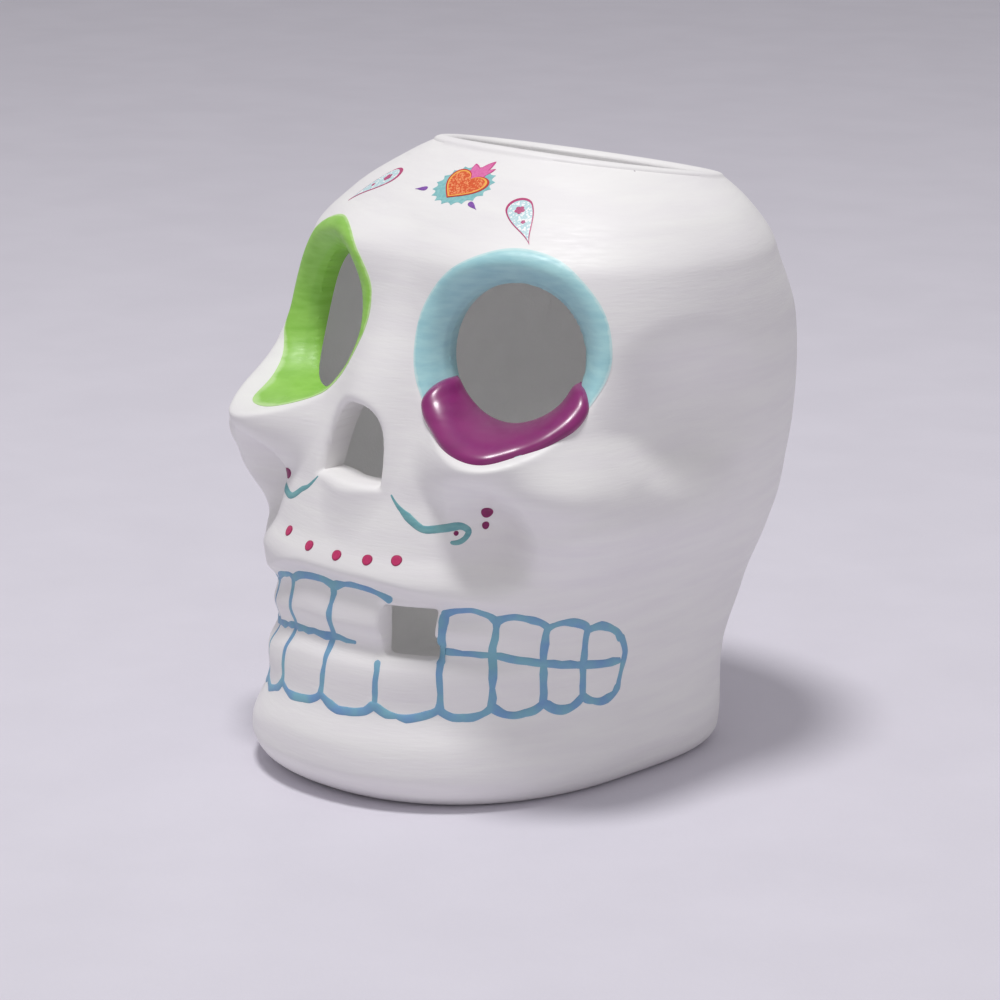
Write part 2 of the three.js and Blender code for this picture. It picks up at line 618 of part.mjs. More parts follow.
// The painted outlines of the teeth, as lines of points: the two scalloped edges, the bite and the sides.
function toothLines() {
  const [gapFrom, gapTo] = [TOOTH_EDGES[GAP_TOOTH], TOOTH_EDGES[GAP_TOOTH + 1]];
  const place = (turn, height) => ({ turn, height, width: OUTLINE_WIDTH });
  const halfway = (edge) => (edge + TOOTH_EDGES[TOOTH_EDGES.indexOf(edge) + 1]) / 2;
  const isEnd = (edge) => Math.abs(edge) === lastEdge;
  const cornerHeight = (edge) => upperHeight(edge) - (isEnd(edge) ? END_FALL : 0);
  const scallops = (edges, cornerAt, middleAt) =>
    edges.flatMap((edge, i) => {
      const corner = place(edge, cornerAt(edge));
      if (i + 1 === edges.length) return [corner];
      return [corner, place(halfway(edge), middleAt(halfway(edge)))];
    });
  const crownHeight = (turn) => upperHeight(turn) + TOOTH_ARCH;
  const footHeight = (turn) => rootHeight(turn) - TOOTH_ARCH;
  const beforeGap = TOOTH_EDGES.slice(0, GAP_TOOTH + 1);
  const afterGap = TOOTH_EDGES.slice(GAP_TOOTH + 1);
  const biteEnd = halfway(TOOTH_EDGES[GAP_TOOTH - 1]);
  const biteLine = (turns) => turns.map((turn) => place(turn, biteHeight(turn)));
  const sides = TOOTH_EDGES.map((edge) => {
    const bulge = isEnd(edge) ? Math.sign(edge) * END_BULGE : 0;
    const top = edge === gapFrom ? [] : [place(edge, cornerHeight(edge))];
    const start = biteHeight(edge) - (edge === gapFrom ? GAP_FALL + GAP_CLEARANCE : 0);
    return [...top, place(edge + bulge, start), place(edge, rootHeight(edge))];
  });
  return [
    scallops(beforeGap, cornerHeight, crownHeight),
    scallops(afterGap, cornerHeight, crownHeight),
    scallops(TOOTH_EDGES, rootHeight, footHeight),
    biteLine([...beforeGap.slice(0, -1), biteEnd]),
    biteLine([gapTo, ...afterGap.slice(1)]),
    ...sides,
  ];
}

function toothOutline() {
  return toothLines()
    .map((line) => brushLine(line))
    .reduce((all, line) => all.add(line));
}

function curl(side) {
  const points = CURL.map((point) => ({ ...point, turn: side * point.turn }));
  return brushLine(points, CURL_LIFT);
}

// The heart's outline round the middle of its frame, its point down.
function heartShape(width) {
  const s = width / 2;
  const shape = new THREE.Shape();
  shape.moveTo(0, -0.95 * s);
  shape.bezierCurveTo(0.35 * s, -0.55 * s, s, -0.2 * s, s, 0.35 * s);
  shape.bezierCurveTo(s, 0.95 * s, 0.2 * s, 0.95 * s, 0, 0.4 * s);
  shape.bezierCurveTo(-0.2 * s, 0.95 * s, -s, 0.95 * s, -s, 0.35 * s);
  shape.bezierCurveTo(-s, -0.2 * s, -0.35 * s, -0.55 * s, 0, -0.95 * s);
  return shape;
}

function frillShape() {
  const shape = new THREE.Shape();
  const points = FRILL_SCALLOPS * 2;
  const squash = FRILL_HEIGHT / 2 / FRILL_RADIUS;
  for (let i = 0; i < points; i += 1) {
    const angle = (2 * Math.PI * i) / points;
    const radius = FRILL_RADIUS - (i % 2 ? 0 : SCALLOP_RISE);
    const [x, y] = [radius * Math.cos(angle), radius * squash * Math.sin(angle)];
    if (i) shape.lineTo(x, y);
    else shape.moveTo(x, y);
  }
  return shape;
}

// Three tongues of flame that rise from the cleft of the heart.
function flameShape(margin) {
  const side = FLAME_WIDTH / 2 + margin;
  const [foot, notch] = [0.6 * side, 0.35 * side];
  const bulge = FLAME_ROOT + FLAME_NOTCH / 4;
  const shape = new THREE.Shape();
  shape.moveTo(-foot, FLAME_ROOT);
  shape.quadraticCurveTo(-side, bulge, -0.9 * side, SIDE_FLAME_TIP + margin);
  shape.lineTo(-notch, FLAME_NOTCH + margin);
  shape.lineTo(0, FLAME_TIP + margin);
  shape.lineTo(notch, FLAME_NOTCH + margin);
  shape.lineTo(0.9 * side, SIDE_FLAME_TIP + margin);
  shape.quadraticCurveTo(side, bulge, foot, FLAME_ROOT);
  return shape;
}

function heartSolids() {
  const matrix = markFrame(HEART_TURN, RIM_HEIGHT - HEART_BELOW_RIM)
    .multiply(new THREE.Matrix4().makeScale(1, HEART_SQUASH, 1))
    .multiply(new THREE.Matrix4().makeRotationZ(radians(HEART_LEAN)));
  const layer = layerNear(matrix, FLAME_TIP + LAYER_MARGIN, COAT);
  const body = transferPrism(heartShape(HEART_WIDTH), matrix);
  const clearBody = transferPrism(heartShape(HEART_WIDTH + 2 * TRANSFER_GAP), matrix);
  const flames = transferPrism(flameShape(0), matrix);
  const clearFlames = transferPrism(flameShape(TRANSFER_GAP), matrix);
  const frill = transferPrism(frillShape(), matrix);
  return {
    body: layer.intersect(body),
    flames: layer.intersect(flames.subtract(clearBody)),
    frill: layer.intersect(frill.subtract(clearBody).subtract(clearFlames)),
  };
}

// A teardrop with its point down.
function dropShape(length, width) {
  const shape = new THREE.Shape();
  const r = width / 2;
  const crown = length / 2;
  shape.moveTo(0, -crown);
  shape.bezierCurveTo(0.25 * r, -0.3 * crown, r, 0, r, crown - r);
  shape.absarc(0, crown - r, r, 0, Math.PI, false);
  shape.bezierCurveTo(-r, 0, -0.25 * r, -0.3 * crown, 0, -crown);
  return shape;
}

function teardrop({ turn, belowRim, lean }, length, width) {
  const matrix = markFrame(turn, RIM_HEIGHT - belowRim, lean);
  const layer = layerNear(matrix, length / 2 + LAYER_MARGIN, COAT);
  return layer.intersect(transferPrism(dropShape(length, width), matrix));
}

// A raised button of paint.
function dot(radius, turn, height) {
  const matrix = markFrame(turn, height);
  const layer = layerNear(matrix, radius + LAYER_MARGIN, LINE_COAT);
  return layer.intersect(prism(ellipse(radius, radius), matrix, TRANSFER_REACH, DOT_SEGMENTS));
}

const skull = new THREE.Group();
skull.name = "sugar_skull";

function addSolid(name, solid, colour, roughness) {
  const material = new THREE.MeshStandardMaterial({ color: colour, roughness, metalness: 0 });
  const mesh = new THREE.Mesh(geometryOf(solid), material);
  mesh.name = name;
  skull.add(mesh);
}

addSolid("skull_shell", shellSolid(), COLOURS.ceramic, FINISH.glaze);
addSolid("left_socket_coat", leftSocketCoat(), COLOURS.teal, FINISH.paint);
addSolid("right_socket_coat", socketCoat(EYES.right), COLOURS.green, FINISH.paint);
addSolid("left_socket_enamel", enamelPool(), COLOURS.enamel, FINISH.enamel);
addSolid("tooth_outline", toothOutline(), COLOURS.outline, FINISH.line);
addSolid("left_curl", curl(1), COLOURS.curl, FINISH.line);
addSolid("right_curl", curl(-1), COLOURS.curl, FINISH.line);

const outermost = Math.max(...LIP_DOT_TURNS.map(Math.abs));
LIP_DOT_TURNS.forEach((turn, i) => {
  const height = LIP_DOT_HEIGHT + LIP_DOT_LIFT * (turn / outermost) ** 2;
  addSolid(`lip_dot_${i + 1}`, dot(LIP_DOT_RADIUS, turn, height), COLOURS.pink, FINISH.line);
});
for (const { name, turn, height, radius } of CHEEK_DOTS) {
  addSolid(name, dot(radius, turn, height), COLOURS.magenta, FINISH.line);
}

const heart = heartSolids();
addSolid("heart_body", heart.body, COLOURS.orange, FINISH.transfer);
addSolid("heart_frill", heart.frill, COLOURS.frill, FINISH.transfer);
addSolid("heart_flames", heart.flames, COLOURS.flame, FINISH.transfer);
for (const place of SPARKS) {
  const solid = teardrop(place, SPARK_LENGTH, SPARK_WIDTH);
  addSolid(place.name, solid, COLOURS.spark, FINISH.transfer);
}
for (const place of DROPS) {
  const solid = teardrop(place, DROP_LENGTH, DROP_WIDTH);
  addSolid(place.name, solid, COLOURS.drop, FINISH.transfer);
}

export default skull;
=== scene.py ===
"""A painted ceramic sugar skull with an open top, dressed for close views.

The casting, the coats in its eye sockets, the pool of enamel, the tooth lines, curls, dots and forehead
transfers are made here as fine meshes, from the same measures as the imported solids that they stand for.
Lengths are millimetres until a mesh is made, and turns are degrees from the middle of the face towards
the skull's own left unless a name says radians.
"""
import logging
import math
from dataclasses import dataclass, field
from enum import Enum
from typing import Any, Callable, Iterable, Sequence

import bpy
import numpy as np
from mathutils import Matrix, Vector
from mathutils.bvhtree import BVHTree


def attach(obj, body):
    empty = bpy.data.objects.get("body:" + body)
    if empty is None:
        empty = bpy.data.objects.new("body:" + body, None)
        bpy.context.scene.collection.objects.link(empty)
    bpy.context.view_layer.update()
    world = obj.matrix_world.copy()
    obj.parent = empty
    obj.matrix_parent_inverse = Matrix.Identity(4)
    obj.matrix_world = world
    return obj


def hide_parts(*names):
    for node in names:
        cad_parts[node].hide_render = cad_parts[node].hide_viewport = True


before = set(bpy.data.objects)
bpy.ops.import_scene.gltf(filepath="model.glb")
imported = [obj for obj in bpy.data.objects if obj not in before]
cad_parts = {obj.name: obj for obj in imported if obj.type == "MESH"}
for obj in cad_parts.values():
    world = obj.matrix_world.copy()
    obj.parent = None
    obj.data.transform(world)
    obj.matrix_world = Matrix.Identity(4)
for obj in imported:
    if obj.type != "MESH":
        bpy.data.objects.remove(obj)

Array = np.ndarray
Outline = Array  # rows of across and up, closed
Colour = tuple[float, float, float, float]

log = logging.getLogger("sugar_skull")

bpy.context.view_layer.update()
BODY = "root"
MM = 0.001
HOLE_STEPS = 240  # sides of each eye's hole
SHARP_ANGLE = math.radians(50)  # edges that turn further than this stay crisp
UP = np.array((0.0, 0.0, 1.0))
ACROSS = np.array((1.0, 0.0, 0.0))
AHEAD = np.array((0.0, -1.0, 0.0))
PRINT_CROWN = 0.05  # how far a small print's middle stands above its edge
MOUTH_RADIUS = 55.0  # about how far the mouth is from the turns' axis
CIRCLE_HANDLE = 0.5523  # the handles of a quarter circle, as a share of its radius


class Side(Enum):
    """The skull's own two sides, as the sign of X."""

    LEFT = 1
    RIGHT = -1

    @property
    def word(self) -> str:
        """The side's name as the nodes spell it."""
        return self.name.lower()


class MouthLine(Enum):
    """The lines of the mouth that the teeth's relief is measured from."""

    ROOT = "root"
    BITE = "bite"
    UPPER = "upper"


@dataclass(frozen=True)
class Section:
    """A level section of the casting: its reach to each side and how square it is, 2 being an ellipse."""

    height: float
    front: float
    back: float
    half: float
    middle: float
    box_front: float
    box_back: float


@dataclass(frozen=True)
class Swell:
    """A swell or hollow worked into the sections, repeated on the other side unless it is in the middle."""

    at: tuple[float, float, float]
    spread: tuple[float, float, float]
    push: tuple[float, float, float]


@dataclass(frozen=True)
class ReliefMark:
    """How far the modelled teeth stand out, at a height above one of the mouth's lines."""

    line: MouthLine
    above: float
    out: float


# Landmark heights above the table.
CHIN, TOOTH_ROOT, BITE, LIP = 9.0, 24.6, 38.5, 54.0
NOSE_FLOOR, CHEEK, EYE, BROW = 76.0, 82.0, 108.0, 127.0
RIM = 151.3
RIM_FALL = 0.18  # how much lower the rim lies for each millimetre towards the back

SECTIONS = (
    Section(0, 60, 48, 49, -4.5, 2.2, 3.6),
    Section(CHIN, 65.5, 49, 51, -4.5, 2.15, 3.4),
    Section(TOOTH_ROOT, 62, 54, 49, -4, 2.05, 3.2),
    Section(BITE, 58, 64, 49.5, -3.5, 2.1, 3),
    Section(LIP, 58, 72, 54, 0, 2.2, 2.8),
    Section(LIP + 8, 54.5, 74, 57, 2.5, 2.05, 2.7),
    Section(CHEEK - 10, 50.5, 76, 59.5, 7, 2.05, 2.5),
    Section(CHEEK, 46.5, 77.5, 61, 11, 2.5, 2.4),
    Section(EYE - 14, 41.5, 78, 62, 15, 3.1, 2.3),
    Section(EYE, 36.5, 76.5, 62.5, 18.5, 2.7, 2.2),
    Section(BROW, 30, 69.5, 60, 21.5, 2.5, 2),
    Section(RIM - 15, 21.5, 63, 53.5, 23, 2.3, 2),
    Section(RIM - 6, 9.5, 54, 40, 24, 2.2, 2),
    Section(RIM + 1, -1, 44, 24, 24, 2.2, 2),
    Section(RIM + 8, -14, 34, 10, 24, 2.2, 2),
)

SWELLS = {
    "cheekbone": Swell((38, -34, CHEEK + 3.8), (24, 33.5, 19), (3.5, -12.3, 0)),
    "cheek": Swell((51.7, -21.6, CHEEK - 8.9), (21, 31.5, 21), (8.5, -8.5, 0)),
    "cheek arch": Swell((60, 4, CHEEK - 15.7), (20, 28, 18.5), (2.6, 0, 0)),
    "cheek hollow": Swell((38.5, -42, LIP + 15), (12, 21, 18), (-2.5, 6, 0)),
    "temple": Swell((57, 4, EYE - 13), (16, 30, 24), (-6, 0, 0)),
    "brow": Swell((26, -36, BROW + 3), (30, 24, 14), (1, -3, 1)),
    "nose bridge": Swell((0, -46, NOSE_FLOOR + 16), (15, 30, 32), (0, -6, 0)),
}

TOOTH_RELIEF = {
    "chin ledge": ReliefMark(MouthLine.ROOT, -10, 0),
    "roots": ReliefMark(MouthLine.ROOT, -1.2, -1.5),
    "lower crowns": ReliefMark(MouthLine.ROOT, 8.2, 0.15),
    "bite": ReliefMark(MouthLine.BITE, 0, -1.7),
    "upper crowns": ReliefMark(MouthLine.BITE, 5, -0.4),
    "recess under the lip": ReliefMark(MouthLine.UPPER, 0.6, -2.3),
    "lip": ReliefMark(MouthLine.UPPER, 5.2, 0),
}


def smooth(share: Array) -> Array:
    """Ease a share from 0 to 1."""
    share = np.clip(share, 0, 1)
    return share * share * (3 - 2 * share)


def unit(vectors: Array) -> Array:
    """Scale vectors to length 1."""
    return vectors / np.linalg.norm(vectors, axis=-1, keepdims=True)


def all_round(count: int) -> Array:
    """Give angles in radians, evenly spaced once round."""
    return np.linspace(0, 2 * math.pi, count, endpoint=False)


def on_circle(angles: Array, radius: Array | float = 1.0) -> Outline:
    """Give points at angles in radians and distances from the origin."""
    return np.asarray(radius)[..., None] * np.stack((np.cos(angles), np.sin(angles)), axis=-1)


def section_curve(measure: str) -> Callable[[Array], Array]:
    """Make a smooth curve up through one measure of the sections, with no overshoot.

    Args:
        measure: the field of Section to follow.

    Returns:
        A function from heights to that measure.
    """
    heights = np.array([section.height for section in SECTIONS], float)
    values = np.array([getattr(section, measure) for section in SECTIONS], float)
    steps = np.diff(values) / np.diff(heights)
    before = np.concatenate((steps[:1], steps))
    after = np.concatenate((steps, steps[-1:]))
    rising = before * after > 0
    slopes = np.where(rising, 2 * before * after / np.where(rising, before + after, 1), 0)

    def curve(height: Array) -> Array:
        """Follow the measure.

        Args:
            height: heights above the table.

        Returns:
            The measure at each.
        """
        level = np.clip(height, heights[0], heights[-1])
        i = np.clip(np.searchsorted(heights, level, side="right") - 1, 0, len(values) - 2)
        span = heights[i + 1] - heights[i]
        t = (level - heights[i]) / span
        bow = (1 - t) * slopes[i] - t * slopes[i + 1] + (2 * t - 1) * steps[i]
        return values[i] + (values[i + 1] - values[i]) * t + span * t * (1 - t) * bow

    return curve


def star_radius(outline: Outline) -> Callable[[Array], Array]:
    """Give the reach of an outline from its origin in each direction.

    Args:
        outline: points of a closed outline that each ray from the origin crosses once.

    Returns:
        A function from angles in radians to distances.
    """
    angles = np.arctan2(outline[:, 1], outline[:, 0])
    order = np.argsort(angles)
    reach = np.hypot(outline[:, 0], outline[:, 1])[order]
    angles = angles[order]
    turn = 2 * math.pi
    ring = np.concatenate((angles - turn, angles, angles + turn))
    reaches = np.tile(reach, 3)
    return lambda angle: np.interp(angle, ring, reaches)


def bezier(start: Sequence[float], *curves: Sequence[float], steps: int = 24) -> Outline:
    """Follow cubic curves from a start point.

    Args:
        start: across and up of the first point.
        curves: six numbers for each curve, two handles and an end point.
        steps: points on each curve.

    Returns:
        The points, without the last one of each curve.
    """
    t = np.arange(steps)[:, None] / steps
    points = []
    here = np.array(start, float)
    for curve in curves:
        first, second, end = np.array(curve, float).reshape(3, 2)
        points.append(
            here * (1 - t) ** 3 + 3 * first * t * (1 - t) ** 2 + 3 * second * t**2 * (1 - t) + end * t**3
        )
        here = end
    return np.concatenate(points)


def smooth_path(keys: Array, step: float) -> Array:
    """Draw a smooth path through keys.

    Args:
        keys: rows whose first two numbers are distances across and up.
        step: the distance between the points drawn.

    Returns:
        Rows like the keys, evenly spaced along the path.
    """
    chords = np.hypot(*np.diff(keys[:, :2], axis=0).T)
    marks = np.concatenate(((0,), np.cumsum(chords)))
    edge_order = 2 if len(keys) > 2 else 1
    slopes = np.gradient(keys, marks, axis=0, edge_order=edge_order)
    along = np.linspace(0, marks[-1], max(3, int(marks[-1] / step)))
    i = np.clip(np.searchsorted(marks, along, side="right") - 1, 0, len(keys) - 2)
    span = (marks[i + 1] - marks[i])[:, None]
    t = (along - marks[i])[:, None] / span
    start = keys[i] * (1 + 2 * t) * (1 - t) ** 2 + slopes[i] * span * t * (1 - t) ** 2
    return start + keys[i + 1] * t**2 * (3 - 2 * t) + slopes[i + 1] * span * t**2 * (t - 1)


def evened(rows: Array, passes: int) -> Array:
    """Even out rows of points or vectors, but for the outermost ones.

    Args:
        rows: the rows.
        passes: how often each is drawn towards its neighbours.

    Returns:
        The evened rows.
    """
    rows = rows.copy()
    for _ in range(passes):
        rows[1:-1] = (rows[2:] + rows[:-2] + 2 * rows[1:-1]) / 4
        rows[:, 1:-1] = (rows[:, 2:] + rows[:, :-2] + 2 * rows[:, 1:-1]) / 4
    return rows


def rounded_over(distance: Array, radius: float) -> Array:
    """How deep a rounded edge lies below the face, at distances outside the edge."""
    inward = np.clip(radius - distance, 0, radius)
    return radius - np.sqrt(radius**2 - inward**2)


@dataclass(frozen=True)
class Place:
    """A frame that lies on the casting: its middle, its own side and up, and straight out."""

    at: Array
    side: Array
    up: Array
    out: Array

    def local(self, points: Array) -> tuple[Array, Array, Array]:
        """Give points as distances across, up and out of this frame."""
        away = points - self.at
        return away @ self.side, away @ self.up, away @ self.out

    def spot(self, across: Array, aloft: Array, out: Array | float = 0.0) -> Array:
        """Give points of this frame.

        Args:
            across: distances along its side.
            aloft: distances up it.
            out: distances straight out of it.

        Returns:
            One point for each.
        """
        across, aloft, out = np.broadcast_arrays(across, aloft, out)
        flat = across[..., None] * self.side + aloft[..., None] * self.up
        return self.at + flat + out[..., None] * self.out


@dataclass
class CastingSurface:
    """The outer surface of the casting, as a function of a turn in radians and a height."""

    wall: float = 5.5
    floor: float = 7.0
    foot_round: float = 4.5
    eye_across: float = 34.0
    eye_yaw: float = math.radians(23)
    eye_tilt: float = math.radians(4)
    socket_half_width: float = 25.3
    socket_half_height: float = 25.0
    socket_lift: float = 1.0
    socket_depth: float = 9.7
    eye_hole: float = 17.2
    eye_edge: float = 1.2
    nose_aside: float = -2.0
    nose_width: float = 21.0
    nose_height: float = 18.0
    nose_shoulder: float = 6.5
    nose_crown: float = 8.5
    nose_middle_share: float = 0.4
    nose_edge: float = 2.6
    gap_edge: float = 0.9
    gap_corner: float = 1.4
    gap_widening: float = 2.0
    gap_fall: float = 2.2
    tooth_edges: tuple[float, ...] = (-86, -74, -62, -48, -33, -17.5, 0, 16.2, 33, 46.5, 60.5, 73, 86)
    gap_tooth: int = 7
    gap_clearance: float = 0.6
    outline_width: float = 1.8
    upper_tooth: float = 12.8
    back_tooth_loss: float = 3.6
    front_teeth: tuple[float, float] = (9, 38)
    bite_turn: float = 33.0
    bite_back_drop: float = 6.5
    right_fall: float = 4.4
    right_fall_turns: tuple[float, float] = (6, 40)
    relief_turns: tuple[float, float] = (34, 62)
    groove_depth: float = 0.35
    groove_width: float = 1.5
    groove_fade: float = 3.0
    curves: dict[str, Callable[[Array], Array]] = field(init=False)
    eyes: dict[Side, Place] = field(init=False)
    gap: Place = field(init=False)
    gap_half: float = field(init=False)

    def __post_init__(self) -> None:
        """Work out the curves, the eyes' frames and the missing tooth's frame."""
        measures = ("front", "back", "half", "middle", "box_front", "box_back")
        self.curves = {measure: section_curve(measure) for measure in measures}
        self.eyes = {side: self.eye_frame(side) for side in Side}
        start, end = np.radians(self.tooth_edges[self.gap_tooth:self.gap_tooth + 2])
        edges = self.skin(np.array((start, end)), np.array((BITE, BITE)))
        inset = self.outline_width / 2 + self.gap_clearance
        left, right = edges[0, 0] + inset - self.gap_widening, edges[1, 0] - inset
        self.gap_half = (right - left) / 2
        middle = (left + right) / 2, edges[:, 1].mean(), BITE - self.gap_fall + self.upper_tooth / 2
        self.gap = Place(np.array(middle), ACROSS, UP, AHEAD)

    def sections(self, turn: Array, height: Array) -> Array:
        """Give points of the plain sections.

        Args:
            turn: turns in radians.
            height: heights.

        Returns:
            One point for each turn and height.
        """
        ahead, aside = np.cos(turn), np.sin(turn)
        at = {measure: curve(height) for measure, curve in self.curves.items()}
        faces = ahead > 0
        reach = np.where(faces, at["front"] + at["middle"], at["back"] - at["middle"])
        power = np.where(faces, at["box_front"], at["box_back"])
        across = (np.abs(aside) / at["half"]) ** power
        along = (np.abs(ahead) / reach) ** power
        tuck = np.clip(self.foot_round - height, 0, self.foot_round)
        radius = (across + along) ** (-1 / power)
        radius += np.sqrt(self.foot_round**2 - tuck**2) - self.foot_round
        return np.stack((radius * aside, at["middle"] - radius * ahead, height + 0 * turn), axis=-1)

    def sculpted(self, turn: Array, height: Array) -> Array:
        """Give points of the sections with the sculptor's swells and hollows.

        Args:
            turn: turns in radians.
            height: heights.

        Returns:
            One point for each turn and height.
        """
        points = self.sections(turn, height)
        for swell in SWELLS.values():
            for sign in (1, -1) if swell.at[0] else (1,):
                mirror = np.array((sign, 1, 1))
                away = (points - mirror * np.array(swell.at)) / np.array(swell.spread)
                fade = np.clip(1 - (away**2).sum(axis=-1), 0, None) ** 2
                points = points + fade[..., None] * mirror * np.array(swell.push)
        return points

    def eye_frame(self, side: Side) -> Place:
        """Find the frame of one eye, with out as its line of sight.

        Args:
            side: which eye.

        Returns:
            The frame, at the middle of its hole on the socket's floor.
        """
        sign = side.value
        level = math.cos(self.eye_tilt)
        aside, ahead = sign * math.sin(self.eye_yaw), -math.cos(self.eye_yaw)
        gaze = np.array((aside * level, ahead * level, math.sin(self.eye_tilt)))
        across = np.array((-ahead, aside, 0.0))
        steps, front = 4000, 1500
        turns = np.linspace(0, math.pi / 2, steps)
        face = self.sculpted(turns, np.full_like(turns, EYE))
        at = face[np.searchsorted(face[:front, 0], self.eye_across)] * np.array((sign, 1, 1))
        return Place(at - gaze * self.socket_depth, across, np.cross(gaze, across), gaze)

    def skin(self, turn: Array, height: Array) -> Array:
        """Give points of the outer surface, dished down to a flat floor round both eyes.

        Args:
            turn: turns in radians.
            height: heights.

        Returns:
            One point for each turn and height.
        """
        dish_reach = 30.0
        points = self.sculpted(turn, height)
        for eye in self.eyes.values():
            across, aloft, above = eye.local(points)
            wide = across / self.socket_half_width
            tall = (aloft - self.socket_lift) / self.socket_half_height
            dish = (1 - np.hypot(wide, tall)) / (1 - self.eye_hole / self.socket_half_width)
            dish = np.where(above < -dish_reach, 0, np.clip(dish, 0, 1))
            points = points - (above * dish**2 * (2 - dish))[..., None] * eye.out
        return points

    def normal_of(self, points: Callable[[Array, Array], Array], turn: Array, height: Array) -> Array:
        """Give the way a surface faces.

        Args:
            points: the surface, a function of turns and heights.
            turn: turns in radians.
            height: heights.

        Returns:
            One outward unit vector for each turn and height.
        """
        step = 0.01
        aside = points(turn + step, height) - points(turn - step, height)
        above = points(turn, height + step) - points(turn, np.maximum(height - step, 0))
        return unit(np.cross(aside, above))

    def fall(self, turn: Array) -> Array:
        """How much lower the mouth is towards the skull's right, at turns in degrees."""
        start, end = self.right_fall_turns
        return self.right_fall * smooth((-turn - start) / (end - start))

    def root(self, turn: Array) -> Array:
        """Height of the lower teeth's roots at turns in degrees."""
        return TOOTH_ROOT - self.fall(turn)

    def bite(self, turn: Array) -> Array:
        """Height of the bite at turns in degrees."""
        back = smooth((np.abs(turn) - self.bite_turn) / (self.tooth_edges[-1] - self.bite_turn))
        return BITE - self.bite_back_drop * back - self.fall(turn)

    def upper(self, turn: Array) -> Array:
        """Find how high the upper teeth reach.

        Args:
            turn: turns in degrees.

        Returns:
            The height of their tops at each.
        """
        start, end = self.front_teeth
        shorter = self.back_tooth_loss * smooth((np.abs(turn) - start) / (end - start))
        return self.bite(turn) + self.upper_tooth - shorter

    def tooth_relief(self, turn: Array, height: Array) -> Array:
        """Find how far the modelled teeth stand out of the plain surface.

        Args:
            turn: turns in degrees.
            height: heights.

        Returns:
            The distance for each turn and height.
        """
        root, bite, upper = self.root(turn), self.bite(turn), self.upper(turn)
        levels = {MouthLine.ROOT: root, MouthLine.BITE: bite, MouthLine.UPPER: upper}
        marks = [(levels[mark.line] + mark.above, mark.out) for mark in TOOTH_RELIEF.values()]
        relief = np.zeros_like(bite)
        for (low, start), (high, end) in zip(marks, marks[1:]):
            share = (height - low) / (high - low)
            relief = np.where((share >= 0) & (share < 1), start + (end - start) * smooth(share), relief)
        away = np.min([np.abs(turn - edge) for edge in self.tooth_edges], axis=0)
        groove = np.exp(-((np.radians(away) * MOUTH_RADIUS / self.groove_width) ** 2))
        within = smooth((height - root) / self.groove_fade) * smooth((upper - height) / self.groove_fade)
        relief = relief - self.groove_depth * groove * within
        start, end = self.relief_turns
        return relief * (1 - smooth((np.abs(turn) - start) / (end - start)))

    def nose_outline(self) -> Outline:
        """Draw the arch of the nose's opening.

        Returns:
            Its outline, round a point above its flat floor.
        """
        side, top = self.nose_width / 2, self.nose_height
        spring, crown = top - self.nose_shoulder, self.nose_crown
        arch = bezier(
            (-side, 0), (-side / 3, 0, side / 3, 0, side, 0), (side, spring, crown, top, 0, top),
            (-crown, top, -side, spring, -side, 0),
        )
        return arch - np.array((0, self.nose_middle))

    @property
    def nose_middle(self) -> float:
        """How far the point that the arch goes round is above its floor."""
        return self.nose_middle_share * self.nose_height

    def from_nose(self, points: Array) -> tuple[Array, Array]:
        """Give points as distances across and up from the middle of the nose's opening."""
        return points[..., 0] - self.nose_aside, points[..., 2] - NOSE_FLOOR - self.nose_middle

    def finished(self, turn: Array, height: Array) -> Array:
        """Give points of the outer surface with its teeth and with its openings' edges rounded over.

        Args:
            turn: turns in radians.
            height: heights.

        Returns:
            One point for each turn and height.
        """
        eye_reach, gap_reach = 15.0, 12.0
        points = self.skin(turn, height)
        facing = self.normal_of(self.skin, turn, height)
        points = points + self.tooth_relief(np.degrees(turn), height)[..., None] * facing
        for eye in self.eyes.values():
            across, aloft, above = eye.local(points)
            sunk = rounded_over(np.hypot(across, aloft) - self.eye_hole, self.eye_edge)
            points = points - np.where(above > -eye_reach, sunk, 0)[..., None] * eye.out
        across, aloft = self.from_nose(points)
        edge = star_radius(self.nose_outline())(np.arctan2(aloft, across))
        sunk = rounded_over(np.hypot(across, aloft) - edge, self.nose_edge)
        points[..., 1] += np.where(points[..., 1] < 0, sunk, 0)
        across, aloft, above = self.gap.local(points)
        beside = np.abs(across) - self.gap_half
        beyond = np.abs(aloft) - self.upper_tooth / 2
        outside = np.hypot(np.clip(beside, 0, None), np.clip(beyond, 0, None))
        inside = np.minimum(np.maximum(beside, beyond), 0)
        sunk = rounded_over(outside + inside, self.gap_edge)
        return points - np.where(np.abs(above) < gap_reach, sunk, 0)[..., None] * self.gap.out

    def rim(self, turn: Array) -> Array:
        """Find the sloping rim, which falls as the surface under it goes back.

        Args:
            turn: turns in radians.

        Returns:
            Its height at each.
        """
        passes = 24
        height = np.full_like(turn, RIM)
        for _ in range(passes):
            height = RIM - RIM_FALL * self.skin(turn, height)[..., 1]
        return height

    def place(self, turn: float, height: float, lean: float = 0.0) -> Place:
        """Give a frame that lies on the plain outer surface.

        Args:
            turn: degrees from the middle of the face.
            height: height above the table.
            lean: degrees that the frame is turned about its own out.

        Returns:
            The frame.
        """
        turns, heights = np.array((math.radians(turn),)), np.array((height,), float)
        out = self.normal_of(self.skin, turns, heights)[0]
        side = unit(np.cross(UP, out))
        up = np.cross(out, side)
        c, s = math.cos(math.radians(lean)), math.sin(math.radians(lean))
        return Place(self.skin(turns, heights)[0], c * side + s * up, c * up - s * side, out)


